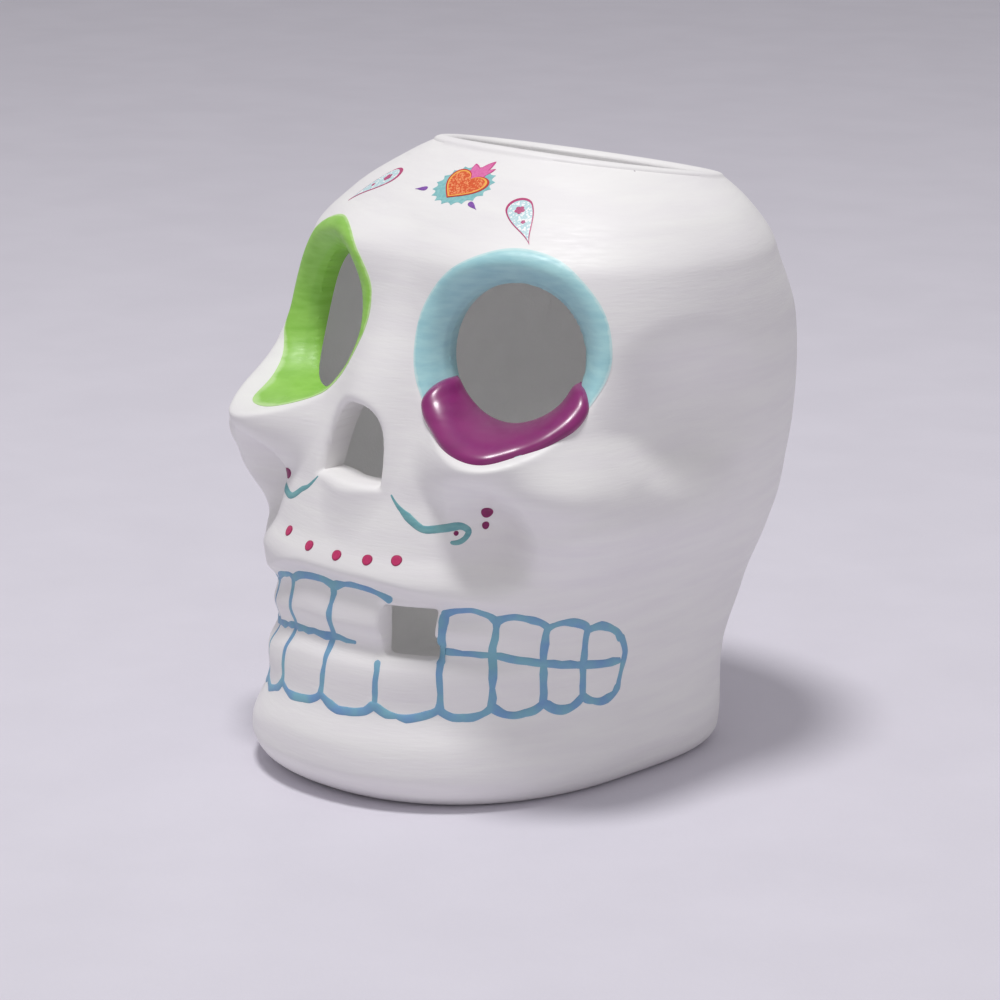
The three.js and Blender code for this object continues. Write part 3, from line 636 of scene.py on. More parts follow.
@dataclass(frozen=True)
class Finish:
    """A surface as it was made: colours, pattern sizes in millimetres and gloss.

    streak is how much longer a pattern is across than it is high. under shows where the cover attribute
    fades, bands are colours from a share of the ring attribute outwards, glitter is a flake's size, glint
    is the painted sparkle of its flakes, and speck is how far apart pinholes are, whose shade is painted in.
    """

    name: str
    colour: str
    shade: str
    mottle: float
    streak: float
    roughness: float
    bump: float
    bump_size: float
    coat: float = 0.0
    ior: float = 1.5
    under: str | None = None
    bands: tuple[tuple[float, str], ...] = ()
    glitter: float = 0.0
    glint: str = "ffffff"
    speck: float = 0.0


# Slip-cast earthenware under a brushed satin glaze: soft gloss, with the brush's fine furrows across it and
# a few pinholes, whose shade is painted in as grey specks.
SATIN_GLAZE = Finish("satin_glaze_on_earthenware", "f2f0ef", "eeebec", 3.0, 8.0, 0.5, 0.055, 0.6, speck=16.0)
# Bare fired earthenware inside: chalky and fine grained.
BISQUE = Finish("bisque_earthenware", "f9f8f8", "f6f5f5", 6.0, 1.0, 0.8, 0.05, 0.6)
# Thin acrylic, brushed on: the strokes show, and the glaze shines through where it runs out.
GREEN_ACRYLIC = Finish(
    "green_acrylic_paint", "9ed561", "90ca51", 1.6, 4.0, 0.42, 0.05, 0.7, under="bfe497"
)
TEAL_ACRYLIC = Finish("teal_acrylic_paint", "b3e1e4", "a4d5dc", 1.6, 4.0, 0.42, 0.05, 0.7, under="cdeaea")
# Thick poured enamel: a wet gloss over faint brush marks, deeper where it is thick.
PLUM_ENAMEL = Finish("plum_gloss_enamel", "8f1d70", "841a68", 3.0, 4.0, 0.34, 0.012, 1.4, coat=0.45)
# Trailed slip lines: satin, paler and greener where the trail ran thin.
BLUE_SLIP = Finish("blue_slip_line", "759fcb", "7fb4c6", 6.0, 1.0, 0.5, 0.03, 0.6)
TEAL_SLIP = Finish("teal_slip_line", "65a0a8", "7cb2b5", 1.2, 3.0, 0.5, 0.03, 0.5)
# Dots of thick paint with a darker edge where it dried.
PINK_DOT = Finish("pink_paint_dot", "cf3a70", "c22f66", 0.8, 1.0, 0.4, 0.03, 0.5, bands=((0.84, "a32458"),))
MAGENTA_DOT = Finish("magenta_paint_dot", "8c0f5f", "7a0a52", 0.8, 1.0, 0.35, 0.03, 0.5)
# Printed transfers fired onto the glaze: flat, with crisp rings of colour and fine mica glitter, whose
# sparkle is a painted highlight in the glint colour. The flakes are drawn coarser than real ones, so that
# they show.
HEART_PRINT = Finish(
    "orange_ceramic_transfer", "e2602b", "d9541f", 0.5, 1.0, 0.4, 0.02, 0.35,
    bands=((0.84, "f7b54e"), (0.92, "c8352b")), glitter=0.35, glint="f79a62",
)
FRILL_PRINT = Finish("pale_teal_ceramic_transfer", "93cccd", "7fbcc0", 0.9, 1.0, 0.4, 0.02, 0.4)
FLAME_PRINT = Finish(
    "pink_ceramic_transfer", "e779b4", "dd66a5", 0.7, 1.0, 0.4, 0.02, 0.4, bands=((0.9, "cf4d8f"),)
)
SPARK_PRINT = Finish("violet_ceramic_transfer", "8e58b4", "7b46a3", 0.6, 1.0, 0.4, 0.02, 0.4)
DROP_PRINT = Finish(
    "glitter_ceramic_transfer", "cfe7ea", "b7dbe2", 0.5, 1.0, 0.35, 0.03, 0.35,
    bands=((0.89, "bd3f76"),), glitter=0.45, glint="fbfdfd",
)
BLOSSOM_PRINT = Finish("rose_ceramic_transfer", "c65a8d", "b3406f", 0.5, 1.0, 0.4, 0.02, 0.35)
# A studio's roll of card: matt, with a faint even grain.
BACKDROP_PAPER = Finish("matt_backdrop_paper", "dcd8e2", "d9d5df", 40.0, 1.0, 0.85, 0.05, 1.2)

SOCKET_FINISH = {Side.LEFT: TEAL_ACRYLIC, Side.RIGHT: GREEN_ACRYLIC}


def linear(colour: str) -> Colour:
    """Turn an sRGB hex colour into linear light."""
    channels = (int(colour[i:i + 2], 16) / 255 for i in (0, 2, 4))
    return (*(c / 12.92 if c <= 0.04045 else ((c + 0.055) / 1.055) ** 2.4 for c in channels), 1.0)


def add_node(tree: Any, kind: str, inputs: dict[int | str, Any], **settings: Any) -> Any:
    """Add a shader node.

    Args:
        tree: the material's node tree.
        kind: the node's type, without its ShaderNode prefix.
        inputs: a value, or a socket to link from, for each input.
        settings: the node's own properties.

    Returns:
        The node.
    """
    node = tree.nodes.new("ShaderNode" + kind)
    for name, value in settings.items():
        setattr(node, name, value)
    for name, value in inputs.items():
        if isinstance(value, bpy.types.NodeSocket):
            tree.links.new(value, node.inputs[name])
        else:
            node.inputs[name].default_value = value
    return node


MIX_FACTOR, MIX_A, MIX_B, MIX_OUT = 0, 6, 7, 2  # the sockets of a Mix node that mixes colours
# Painted shade: the grey that the glaze's pinholes are specked with, standing for the shade inside them.
PIT_SHADE_COLOUR = "a9a2a8"
COAT_ROUGHNESS = 0.2


def material_of(finish: Finish) -> bpy.types.Material:
    """Make the material of a finish, or give it if it is made.

    Args:
        finish: what the surface is.

    Returns:
        The material.
    """
    known = bpy.data.materials.get(finish.name)
    if known:
        return known
    mottle_low, mottle_high = 0.35, 0.65
    flake_share, pit_edge, pit_middle = 0.72, 0.022, 0.012
    bare, covered = 0.55, 1.0
    furrow_low, furrow_high = 0.3, 0.7
    glossiest, dullest = finish.roughness - 0.06, finish.roughness + 0.08
    material = bpy.data.materials.new(finish.name)
    material.use_nodes = True
    tree = material.node_tree
    tree.nodes.clear()
    place = add_node(tree, "TexCoord", {}).outputs["Object"]
    sizes = {
        "mottle": (finish.mottle, finish.streak),
        "furrows": (finish.bump_size, finish.streak),
        "flakes": (finish.glitter, 1.0),
        "pits": (finish.speck, 1.0),
    }
    spread = {}
    for pattern, (size, streak) in sizes.items():
        if size:
            long, high = 1 / (size * streak * MM), 1 / (size * MM)
            scaled = add_node(tree, "Mapping", {"Vector": place, "Scale": (long, long, high)})
            spread[pattern] = scaled.outputs[0]
    mottle_inputs = {"Vector": spread["mottle"], "Scale": 1.0, "Detail": 3.0}
    mottle = add_node(tree, "TexNoise", mottle_inputs).outputs[0]
    share = add_node(tree, "MapRange", {0: mottle, 1: mottle_low, 2: mottle_high}).outputs[0]
    layers = [(share, finish.shade)]
    if finish.glitter:
        # Painted highlight: the flakes that pass the share take the glint colour, standing for the light they
        # catch.
        flakes = add_node(tree, "TexVoronoi", {"Vector": spread["flakes"], "Scale": 1.0})
        bright = add_node(tree, "SeparateColor", {0: flakes.outputs["Color"]}).outputs[0]
        lit = add_node(tree, "Math", {0: bright, 1: flake_share}, operation="GREATER_THAN").outputs[0]
        layers.append((lit, finish.glint))
    if finish.bands:
        ring = add_node(tree, "Attribute", {}, attribute_name="ring").outputs["Fac"]
        for start, band in finish.bands:
            past = add_node(tree, "Math", {0: ring, 1: start}, operation="GREATER_THAN").outputs[0]
            layers.append((past, band))
    # The pinholes' shade is painted in as grey specks.
    if finish.speck:
        pits = add_node(tree, "TexVoronoi", {"Vector": spread["pits"], "Scale": 1.0}).outputs[0]
        dark = add_node(tree, "MapRange", {0: pits, 1: pit_edge, 2: pit_middle}).outputs[0]
        layers.append((dark, PIT_SHADE_COLOUR))
    if finish.under:
        cover = add_node(tree, "Attribute", {}, attribute_name="cover").outputs["Fac"]
        full = add_node(tree, "Math", {0: cover, 1: mottle}, operation="ADD").outputs[0]
        thin = add_node(tree, "MapRange", {0: full, 1: covered, 2: bare}).outputs[0]
        layers.append((thin, finish.under))
    colour: Any = linear(finish.colour)
    for factor, over in layers:
        mix_inputs = {MIX_FACTOR: factor, MIX_A: colour, MIX_B: linear(over)}
        colour = add_node(tree, "Mix", mix_inputs, data_type="RGBA").outputs[MIX_OUT]
    furrow_inputs = {"Vector": spread["furrows"], "Scale": 1.0, "Detail": 4.0}
    furrows = add_node(tree, "TexNoise", furrow_inputs).outputs[0]
    bump = add_node(tree, "Bump", {"Height": furrows, "Strength": 1.0, "Distance": finish.bump * MM})
    gloss_inputs = {0: furrows, 1: furrow_low, 2: furrow_high, 3: glossiest, 4: dullest}
    gloss = add_node(tree, "MapRange", gloss_inputs)
    shader = add_node(tree, "BsdfPrincipled", {
        "Base Color": colour,
        "Roughness": gloss.outputs[0],
        "Normal": bump.outputs[0],
        "IOR": finish.ior,
        "Coat Weight": finish.coat,
        "Coat Roughness": COAT_ROUGHNESS,
    })
    add_node(tree, "OutputMaterial", {"Surface": shader.outputs[0]})
    return material


def grid_faces(rows: int, columns: int, wrap: bool) -> Array:
    """Number the quads of a grid of points.

    Args:
        rows: rows of points.
        columns: points in a row.
        wrap: whether the last column meets the first.

    Returns:
        Four corners for each quad.
    """
    across = columns if wrap else columns - 1
    r, c = np.meshgrid(np.arange(rows - 1), np.arange(across), indexing="ij")
    a = r * columns + c
    b = r * columns + (c + 1) % columns
    return np.stack((a, b, b + columns, a + columns), axis=-1).reshape(-1, 4)


@dataclass
class Form:
    """A mesh in the making: points in millimetres, faces, and shares kept for the material."""

    points: Array
    faces: list[Sequence[int]]
    shares: dict[str, Array] = field(default_factory=dict)

    def as_object(self, name: str) -> bpy.types.Object:
        """Make the mesh, in metres, with smooth faces and crisp edges.

        Args:
            name: the object's name.

        Returns:
            The object, in the scene.
        """
        mesh = bpy.data.meshes.new(name)
        mesh.from_pydata((self.points * MM).tolist(), [], [tuple(face) for face in self.faces])
        for share, values in self.shares.items():
            mesh.attributes.new(share, "FLOAT", "POINT").data.foreach_set("value", values.astype(np.float32))
        mesh.polygons.foreach_set("use_smooth", np.ones(len(mesh.polygons), bool))
        mesh.validate()
        mesh.set_sharp_from_angle(angle=SHARP_ANGLE)
        made = bpy.data.objects.new(name, mesh)
        bpy.context.scene.collection.objects.link(made)
        return made


def stacked(rings: Array) -> Form:
    """Close a stack of rings with a point in the middle of its first and last ring.

    Args:
        rings: rings of points, foot to top, each running round to the left seen from above.

    Returns:
        The closed form.
    """
    count, columns = rings.shape[:2]
    points = np.concatenate((rings.reshape(-1, 3), rings[0].mean(axis=0)[None], rings[-1].mean(axis=0)[None]))
    low, high = count * columns, count * columns + 1
    faces = grid_faces(count, columns, wrap=True).tolist()
    last = (count - 1) * columns
    for c in range(columns):
        n = (c + 1) % columns
        faces.append((low, n, c))
        faces.append((high, last + c, last + n))
    return Form(points, faces)


def patch(top: Array, under: Array, shares: dict[str, Array], wrap: bool) -> Form:
    """Close a patch of paint between its top and what it lies on.

    Args:
        top: rows of points on top. A wrapped patch whose first row is one point is a disc.
        under: the points below them.
        shares: values of each top point, which the points below share.
        wrap: whether the rows run round.

    Returns:
        The closed form.
    """
    rows, columns = top.shape[:2]
    one_point = 1e-6
    disc = wrap and np.ptp(top[0], axis=0).max() < one_point
    above = grid_faces(rows, columns, wrap)
    size = rows * columns
    faces = [tuple(face) for face in above] + [tuple(size + face[::-1]) for face in above]
    around = np.arange(rows * columns).reshape(rows, columns)
    borders = [around[-1]] if disc else [around[-1], around[0][::-1]]
    if wrap:
        borders = [np.append(border, border[0]) for border in borders]
    else:
        borders += [around[:, 0], around[::-1, -1]]
    for border in borders:
        faces += [(b, a, size + a, size + b) for a, b in zip(border, border[1:])]
    points = np.concatenate((top.reshape(-1, 3), under.reshape(-1, 3)))
    doubled = {name: np.tile(values.ravel(), 2) for name, values in shares.items()}
    if not disc:
        return Form(points, faces, doubled)
    first = {c: 0 for c in range(columns)} | {size + c: size for c in range(columns)}
    merged = []
    for face in faces:
        corners = list(dict.fromkeys(first.get(int(corner), int(corner)) for corner in face))
        if len(corners) > 2:
            merged.append(corners)
    used = np.array([i for i in range(2 * size) if first.get(i, i) == i])
    fresh = {int(old): new for new, old in enumerate(used)}
    faces = [tuple(fresh[corner] for corner in corners) for corners in merged]
    return Form(points[used], faces, {name: values[used] for name, values in doubled.items()})


def prism(outline: Outline, place: Place, reach: float) -> Form:
    """Make a straight-sided cutter.

    Args:
        outline: the cut's outline across and up its frame, running to the left.
        place: the frame.
        reach: how far it runs to either side.

    Returns:
        The closed form.
    """
    rings = [place.spot(outline[:, 0], outline[:, 1], out) for out in (-reach, reach)]
    return stacked(np.array(rings))


def applied(target: bpy.types.Object, others: Iterable[bpy.types.Object], operation: str) -> None:
    """Cut or join objects into a target and remove them.

    Args:
        target: the object that is kept.
        others: the closed objects to cut with or to join.
        operation: DIFFERENCE or UNION.
    """
    others = list(others)
    for other in others:
        modifier = target.modifiers.new(other.name, "BOOLEAN")
        modifier.operation = operation
        modifier.solver = "MANIFOLD"
        modifier.object = other
    shape = target.evaluated_get(bpy.context.evaluated_depsgraph_get())
    mesh = bpy.data.meshes.new_from_object(shape)
    target.modifiers.clear()
    old, target.data = target.data, mesh
    bpy.data.meshes.remove(old)
    for other in others:
        spent = other.data
        bpy.data.objects.remove(other)
        bpy.data.meshes.remove(spent)


def settle(piece: bpy.types.Object, finish: Finish | None, *nodes: str) -> bpy.types.Object:
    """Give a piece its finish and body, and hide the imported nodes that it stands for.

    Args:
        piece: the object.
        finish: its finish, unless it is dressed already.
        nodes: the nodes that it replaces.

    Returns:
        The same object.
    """
    if finish:
        piece.data.materials.clear()
        piece.data.materials.append(material_of(finish))
    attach(piece, BODY)
    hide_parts(*nodes)
    log.info("%s stands for %s, %d points", piece.name, ", ".join(nodes), len(piece.data.vertices))
    return piece


@dataclass
class Casting:
    """The hollow skull: its outer and inner faces, rounded rim, and the cuts of eyes, nose and tooth."""

    surface: CastingSurface
    columns: int = 400
    rows: int = 300
    foot_rows: int = 9
    inner_rows: int = 90
    face_crowding: float = 0.45
    rim_round: float = 1.2
    rim_steps: int = 7
    corner_round: float = 5.0
    nose_wall: float = 4.0
    nose_wall_spread: float = 18.0
    smoothing: int = 24
    cut_reach: float = 30.0
    gap_reach: float = 15.0
    painted_edge: float = 0.8
    painted_walls: float = 1.4
    disc_share: float = 0.6
    evening: int = 4
    sharp_angle: float = math.radians(40)
    turns: Array = field(init=False)
    rims: Array = field(init=False)
    outer: Array = field(init=False)
    laid: BVHTree = field(init=False)

    def __post_init__(self) -> None:
        """Work out the outer face and the tree that paint is laid on it with."""
        share = 2 * math.pi * (np.arange(self.columns) / self.columns - 0.5)
        self.turns = share - self.face_crowding * np.sin(share)
        self.rims = self.surface.rim(self.turns)
        foot = self.surface.foot_round
        lowest = foot * (1 - np.cos(np.linspace(0, math.pi / 2, self.foot_rows)))
        upper = np.linspace(foot, RIM - self.rim_round, self.rows)[1:]
        rises = np.concatenate((lowest, upper))[:, None] * (self.rims / RIM)
        turns = np.broadcast_to(self.turns, rises.shape)
        self.outer = self.surface.finished(turns, rises)
        faces = grid_faces(*self.outer.shape[:2], wrap=True)
        self.laid = BVHTree.FromPolygons(self.outer.reshape(-1, 3).tolist(), faces.tolist())

    def inner(self) -> Array:
        """Shape the inner face, one wall in from the outer face and evened out.

        Returns:
            Its rings, rim to floor.
        """
        surface = self.surface
        share = np.linspace(1, 0, self.inner_rows)[:, None]
        heights = surface.floor + (self.rims - surface.floor) * share
        turns = np.broadcast_to(self.turns, heights.shape)
        points = surface.skin(turns, heights)
        points = points - surface.wall * surface.normal_of(surface.skin, turns, heights)
        for _ in range(self.smoothing):
            beside = (np.roll(points, 1, axis=1) + np.roll(points, -1, axis=1)) / 2
            points[1:-1] = (beside[1:-1] + (points[2:] + points[:-2]) / 2) / 2
        ahead = points[..., 1] < 0
        round_nose = np.exp(-(np.hypot(*surface.from_nose(points)) / self.nose_wall_spread) ** 2)
        points[..., 1] += np.where(ahead, self.nose_wall * round_nose, 0)
        above = np.clip(self.corner_round - (heights - surface.floor), 0, self.corner_round)
        turn_in = self.corner_round - np.sqrt(self.corner_round**2 - above**2)
        points[..., :2] *= (1 - turn_in / np.linalg.norm(points[..., :2], axis=-1))[..., None]
        points[..., 2] = np.maximum(points[..., 2], surface.floor)
        points[-1, :, 2] = surface.floor
        return points

    def rim_rings(self, mouth: Array) -> Array:
        """Round the rim over.

        Args:
            mouth: the inner face's first ring.

        Returns:
            Rings from the outer face over to the upright wall of the mouth.
        """
        edge = self.outer[-1]
        wall = mouth.copy()
        wall[:, 2] = edge[:, 2]
        angles = np.linspace(0, math.pi, self.rim_steps + 2)[1:, None, None]
        crown = self.rims[:, None] * UP - edge[:, 2:] * UP
        return (edge + wall) / 2 + (edge - wall) / 2 * np.cos(angles) + crown * np.sin(angles)

    def build(self) -> bpy.types.Object:
        """Build and dress the casting.

        Returns:
            The piece.
        """
        inner = self.inner()
        rim = self.rim_rings(inner[0])
        flat = self.outer[:1] * np.array((self.disc_share, self.disc_share, 1))
        middle = inner[-1].mean(axis=0)
        floor = (inner[-1:] - middle) * self.disc_share + middle
        form = stacked(np.concatenate((flat, self.outer, rim, inner, floor)))
        piece = form.as_object("skull_casting")
        for finish in (SATIN_GLAZE, BISQUE, *SOCKET_FINISH.values()):
            piece.data.materials.append(material_of(finish))
        inside = (1 + len(self.outer) + len(rim)) * self.columns
        index = [int(min(polygon.vertices) >= inside) for polygon in piece.data.polygons]
        piece.data.polygons.foreach_set("material_index", index)
        applied(piece, self.cutters(), "DIFFERENCE")
        self.paint_hole_walls(piece.data)
        piece.data.set_sharp_from_angle(angle=self.sharp_angle)
        return settle(piece, None, "skull_shell")

    def paint_hole_walls(self, mesh: bpy.types.Mesh) -> None:
        """Carry each socket's colour into the wall of its hole.

        Args:
            mesh: the cut casting, whose first two finishes are the glaze and the bisque.
        """
        centres, index = np.empty(3 * len(mesh.polygons)), np.empty(len(mesh.polygons), int)
        mesh.polygons.foreach_get("center", centres)
        mesh.polygons.foreach_get("material_index", index)
        for slot, side in enumerate(SOCKET_FINISH, start=2):
            across, aloft, above = self.surface.eyes[side].local(centres.reshape(-1, 3) / MM)
            near = np.hypot(across, aloft) < self.surface.eye_hole + self.painted_edge
            index[near & (np.abs(above) < self.painted_walls * self.surface.wall)] = slot
        mesh.polygons.foreach_set("material_index", index)
        cover = mesh.attributes.new("cover", "FLOAT", "POINT")
        cover.data.foreach_set("value", np.ones(len(mesh.vertices), np.float32))

    def cutters(self) -> list[bpy.types.Object]:
        """Make what cuts the eyes, the nose and the missing tooth.

        Returns:
            The closed cutters.
        """
        surface = self.surface
        circle = on_circle(all_round(HOLE_STEPS))
        hole = surface.eye_hole * circle
        nose = surface.sculpted(np.zeros(1), np.array((NOSE_FLOOR,)))[0]
        nose = Place(nose + surface.nose_aside * ACROSS + surface.nose_middle * UP, ACROSS, UP, AHEAD)
        radius, half, tall = surface.gap_corner, surface.gap_half, surface.upper_tooth / 2
        # Which quarter each point is in. The points between quarters become the middles of the sides.
        quarter = np.sign(np.round(circle, 9))
        opening = radius * circle + np.array((half - radius, tall - radius)) * quarter
        cuts = (
            ("left_eye_cut", hole, surface.eyes[Side.LEFT], self.cut_reach),
            ("right_eye_cut", hole, surface.eyes[Side.RIGHT], self.cut_reach),
            ("nose_cut", surface.nose_outline(), nose, self.cut_reach),
            ("gap_cut", opening, surface.gap, self.gap_reach),
        )
        return [prism(outline, place, reach).as_object(name) for name, outline, place, reach in cuts]

    def lay(self, place: Place, across: Array, aloft: Array) -> tuple[Array, Array]:
        """Drop rows of points of a frame straight onto the outer face.

        Args:
            place: the frame.
            across: distances across it.
            aloft: distances up it.

        Returns:
            The points where they land, and the way the face there looks, evened out.
        """
        start = 40.0
        down = Vector(-place.out)
        points = place.spot(across, aloft, start)
        landed = points.reshape(-1, 3).copy()
        facing = np.empty_like(landed)
        for i, point in enumerate(landed):
            hit, way = self.laid.ray_cast(Vector(point), down, 2 * start)[:2]
            landed[i] = hit if hit else point + start * np.array(down)
            facing[i] = way if hit else place.out
        return landed.reshape(points.shape), unit(evened(facing.reshape(points.shape), self.evening))


@dataclass
class SocketCoats:
    """The thin coats of paint that are brushed round the inside of both eye sockets."""

    casting: Casting
    rows: int = 24
    thickness: float = 0.28
    edge_thickness: float = 0.12
    least: float = 0.02
    inset: float = 0.4
    lift: float = 2.0
    half_height: float = 23.5
    sunk: float = 0.4
    edge: float = 1.2
    waver: float = 0.12
    waves: tuple[int, int] = (5, 11)
    clear_of_hole: float = 0.3
    right_inset: float = 2.4
    right_inset_at: float = math.radians(222)
    right_inset_spread: float = math.radians(32)

    def build(self, side: Side, finish: Finish) -> bpy.types.Object:
        """Build and dress the coat of one socket.

        Args:
            side: which socket.
            finish: its paint.

        Returns:
            The piece.
        """
        surface = self.casting.surface
        angles = all_round(HOLE_STEPS)
        half_width = surface.socket_half_width - self.inset
        ring = on_circle(angles) * np.array((half_width, self.half_height)) + np.array((0, self.lift))
        slow, quick = self.waves
        waver = self.waver * (np.sin(slow * angles + side.value) + np.sin(quick * angles + 2) / 2)
        outer = star_radius(ring)(angles) + waver
        if side is Side.RIGHT:
            away = (angles - self.right_inset_at) / self.right_inset_spread
            outer -= self.right_inset * np.exp(-(away**2))
        inner = surface.eye_hole + self.clear_of_hole
        share = np.linspace(0, 1, self.rows)[:, None]
        reach = inner + (outer - inner) * share
        across, aloft = reach * np.cos(angles), reach * np.sin(angles)
        eye = surface.eyes[side]
        landed, facing = self.casting.lay(eye, across, aloft)
        thin = smooth((outer - reach) / self.edge)
        lift = self.edge_thickness + (self.thickness - self.edge_thickness) * thin
        lift = lift * smooth((reach - inner) / self.edge) + self.least
        top = landed + lift[..., None] * facing
        form = patch(top, landed - self.sunk * facing, {"cover": thin}, wrap=True)
        piece = form.as_object(f"{side.word}_socket_paint")
        return settle(piece, finish, f"{side.word}_socket_coat")


@dataclass
class EnamelPool:
    """The pool of thick enamel that runs along the lower edge of the left eye."""

    casting: Casting
    # Across and up from the middle of the eye's hole.
    outer_edge: tuple[tuple[float, float], ...] = (
        (-17, -6.6), (-19.6, -8.6), (-20.7, -11.6), (-19.6, -14.4), (-14.6, -18.4), (-6.8, -21.4),
        (1.8, -22.2), (9.2, -20), (16, -17.2), (20.4, -13.6), (21.6, -9.8), (20.4, -7), (18.6, -5.8),
    )
    turns: tuple[float, float] = (202, 342)
    crown: float = 2.5
    least: float = 0.1
    boxiness: float = 2.4
    end_share: float = 0.09
    fuller: float = 0.3
    fuller_at: float = 0.14
    evening: int = 6
    sunk: float = 0.5
    drip: float = 1.6
    drip_share: float = 0.1
    overhang: float = 0.5
    rows: int = 32
    step: float = 0.35

    def build(self) -> bpy.types.Object:
        """Build and dress the pool.

        Returns:
            The piece.
        """
        eye = self.casting.surface.eyes[Side.LEFT]
        outer = smooth_path(np.array(self.outer_edge, float), self.step)
        angles = np.radians(np.linspace(*self.turns, len(outer)))
        inner = on_circle(angles, self.casting.surface.eye_hole - self.overhang)
        share = (1 - np.cos(np.linspace(0, math.pi, self.rows)))[:, None] / 2
        across = inner[:, 0] + (outer[:, 0] - inner[:, 0]) * share
        aloft = inner[:, 1] + (outer[:, 1] - inner[:, 1]) * share
        landed, facing = self.casting.lay(eye, across, aloft)
        pillow = np.sqrt(np.clip(1 - np.abs(2 * share - 1) ** self.boxiness, 0, 1))
        along = np.linspace(0, 1, len(outer))
        inward = (1 - np.minimum(along, 1 - along) / self.end_share).clip(0)
        ends = np.sqrt(np.clip(1 - inward**2, 0, 1))
        fuller = 1 + self.fuller * np.exp(-(((along - self.fuller_at) / self.fuller_at) ** 2))
        lift = self.least + self.crown * pillow * ends * fuller
        below = self.sunk + (self.drip - self.sunk) * (1 - smooth(share / self.drip_share)) + 0 * lift
        top = evened(landed + lift[..., None] * facing, self.evening)
        form = patch(top, landed - below[..., None] * facing, {}, wrap=False)
        return settle(form.as_object("left_enamel_pool"), PLUM_ENAMEL, "left_socket_enamel")


@dataclass
class Strokes:
    """Raised lines that are trailed onto the casting through points of turn, height and width."""

    casting: Casting
    step: float = 0.3
    rise_share: float = 0.13
    sunk: float = 0.35
    profile_steps: int = 8
    waver: float = 0.14
    run_on: float = 0.35
    foot_share: float = 0.8
    bedding: float = 0.05
    least_end: float = 0.01
    draw_every: int = 8
    seed: int = 7
    hand: np.random.Generator = field(init=False)

    def __post_init__(self) -> None:
        """Start the draws that make the hand unsteady."""
        self.hand = np.random.default_rng(self.seed)

    def unsteady(self, count: int) -> Array:
        """Wander slowly and at random, by about 1.

        Args:
            count: the steps to take.

        Returns:
            One value for each step.
        """
        spare = 3
        marks = self.hand.normal(size=count // self.draw_every + spare)
        return np.interp(np.arange(count) / self.draw_every, np.arange(len(marks)), marks)

    def stroke(self, keys: Sequence[Sequence[float]]) -> Form:
        """Trail one line.

        Args:
            keys: turn in degrees, height and width at each of its points.

        Returns:
            A closed bead along the line with rounded ends.
        """
        scale = np.array((math.radians(1) * MOUTH_RADIUS, 1, 1))
        marks = np.array(keys, float) * scale
        for end, before in ((0, 1), (-1, -2)):
            marks[end, :2] += self.run_on * marks[end, 2] * unit(marks[end, :2] - marks[before, :2])
        path = smooth_path(marks, self.step)
        count = len(path)
        way = unit(np.gradient(path[:, :2], axis=0))
        path[:, :2] += (self.waver * self.unsteady(count))[:, None] * way[:, ::-1] * np.array((-1, 1))
        path[:, 2] *= 1 + self.waver * self.unsteady(count)
        turn, height = path[:, 0] / MOUTH_RADIUS, path[:, 1]
        surface = self.casting.surface
        centre = surface.finished(turn, height)
        out = surface.normal_of(surface.finished, turn, height)
        along = unit(np.gradient(centre, axis=0))
        beside = unit(np.cross(out, along))
        from_end = np.minimum(np.arange(count), np.arange(count)[::-1]) * self.step
        half = path[:, 2] / 2
        ends = np.sqrt(np.clip(1 - np.clip(1 - from_end / half, 0, 1) ** 2, self.least_end, 1))
        half = half * ends
        angles = np.linspace(0, math.pi, self.profile_steps + 1)
        across = np.concatenate((np.cos(angles), (-self.foot_share, self.foot_share)))
        aloft = np.concatenate((np.sin(angles), (0, 0)))
        drop = np.concatenate((np.zeros_like(angles) - self.bedding, (-self.sunk, -self.sunk)))
        rise = 2 * self.rise_share * half[:, None] * aloft + drop
        rings = centre[:, None] + (half[:, None] * across)[..., None] * beside[:, None]
        return stacked(rings + rise[..., None] * out[:, None])


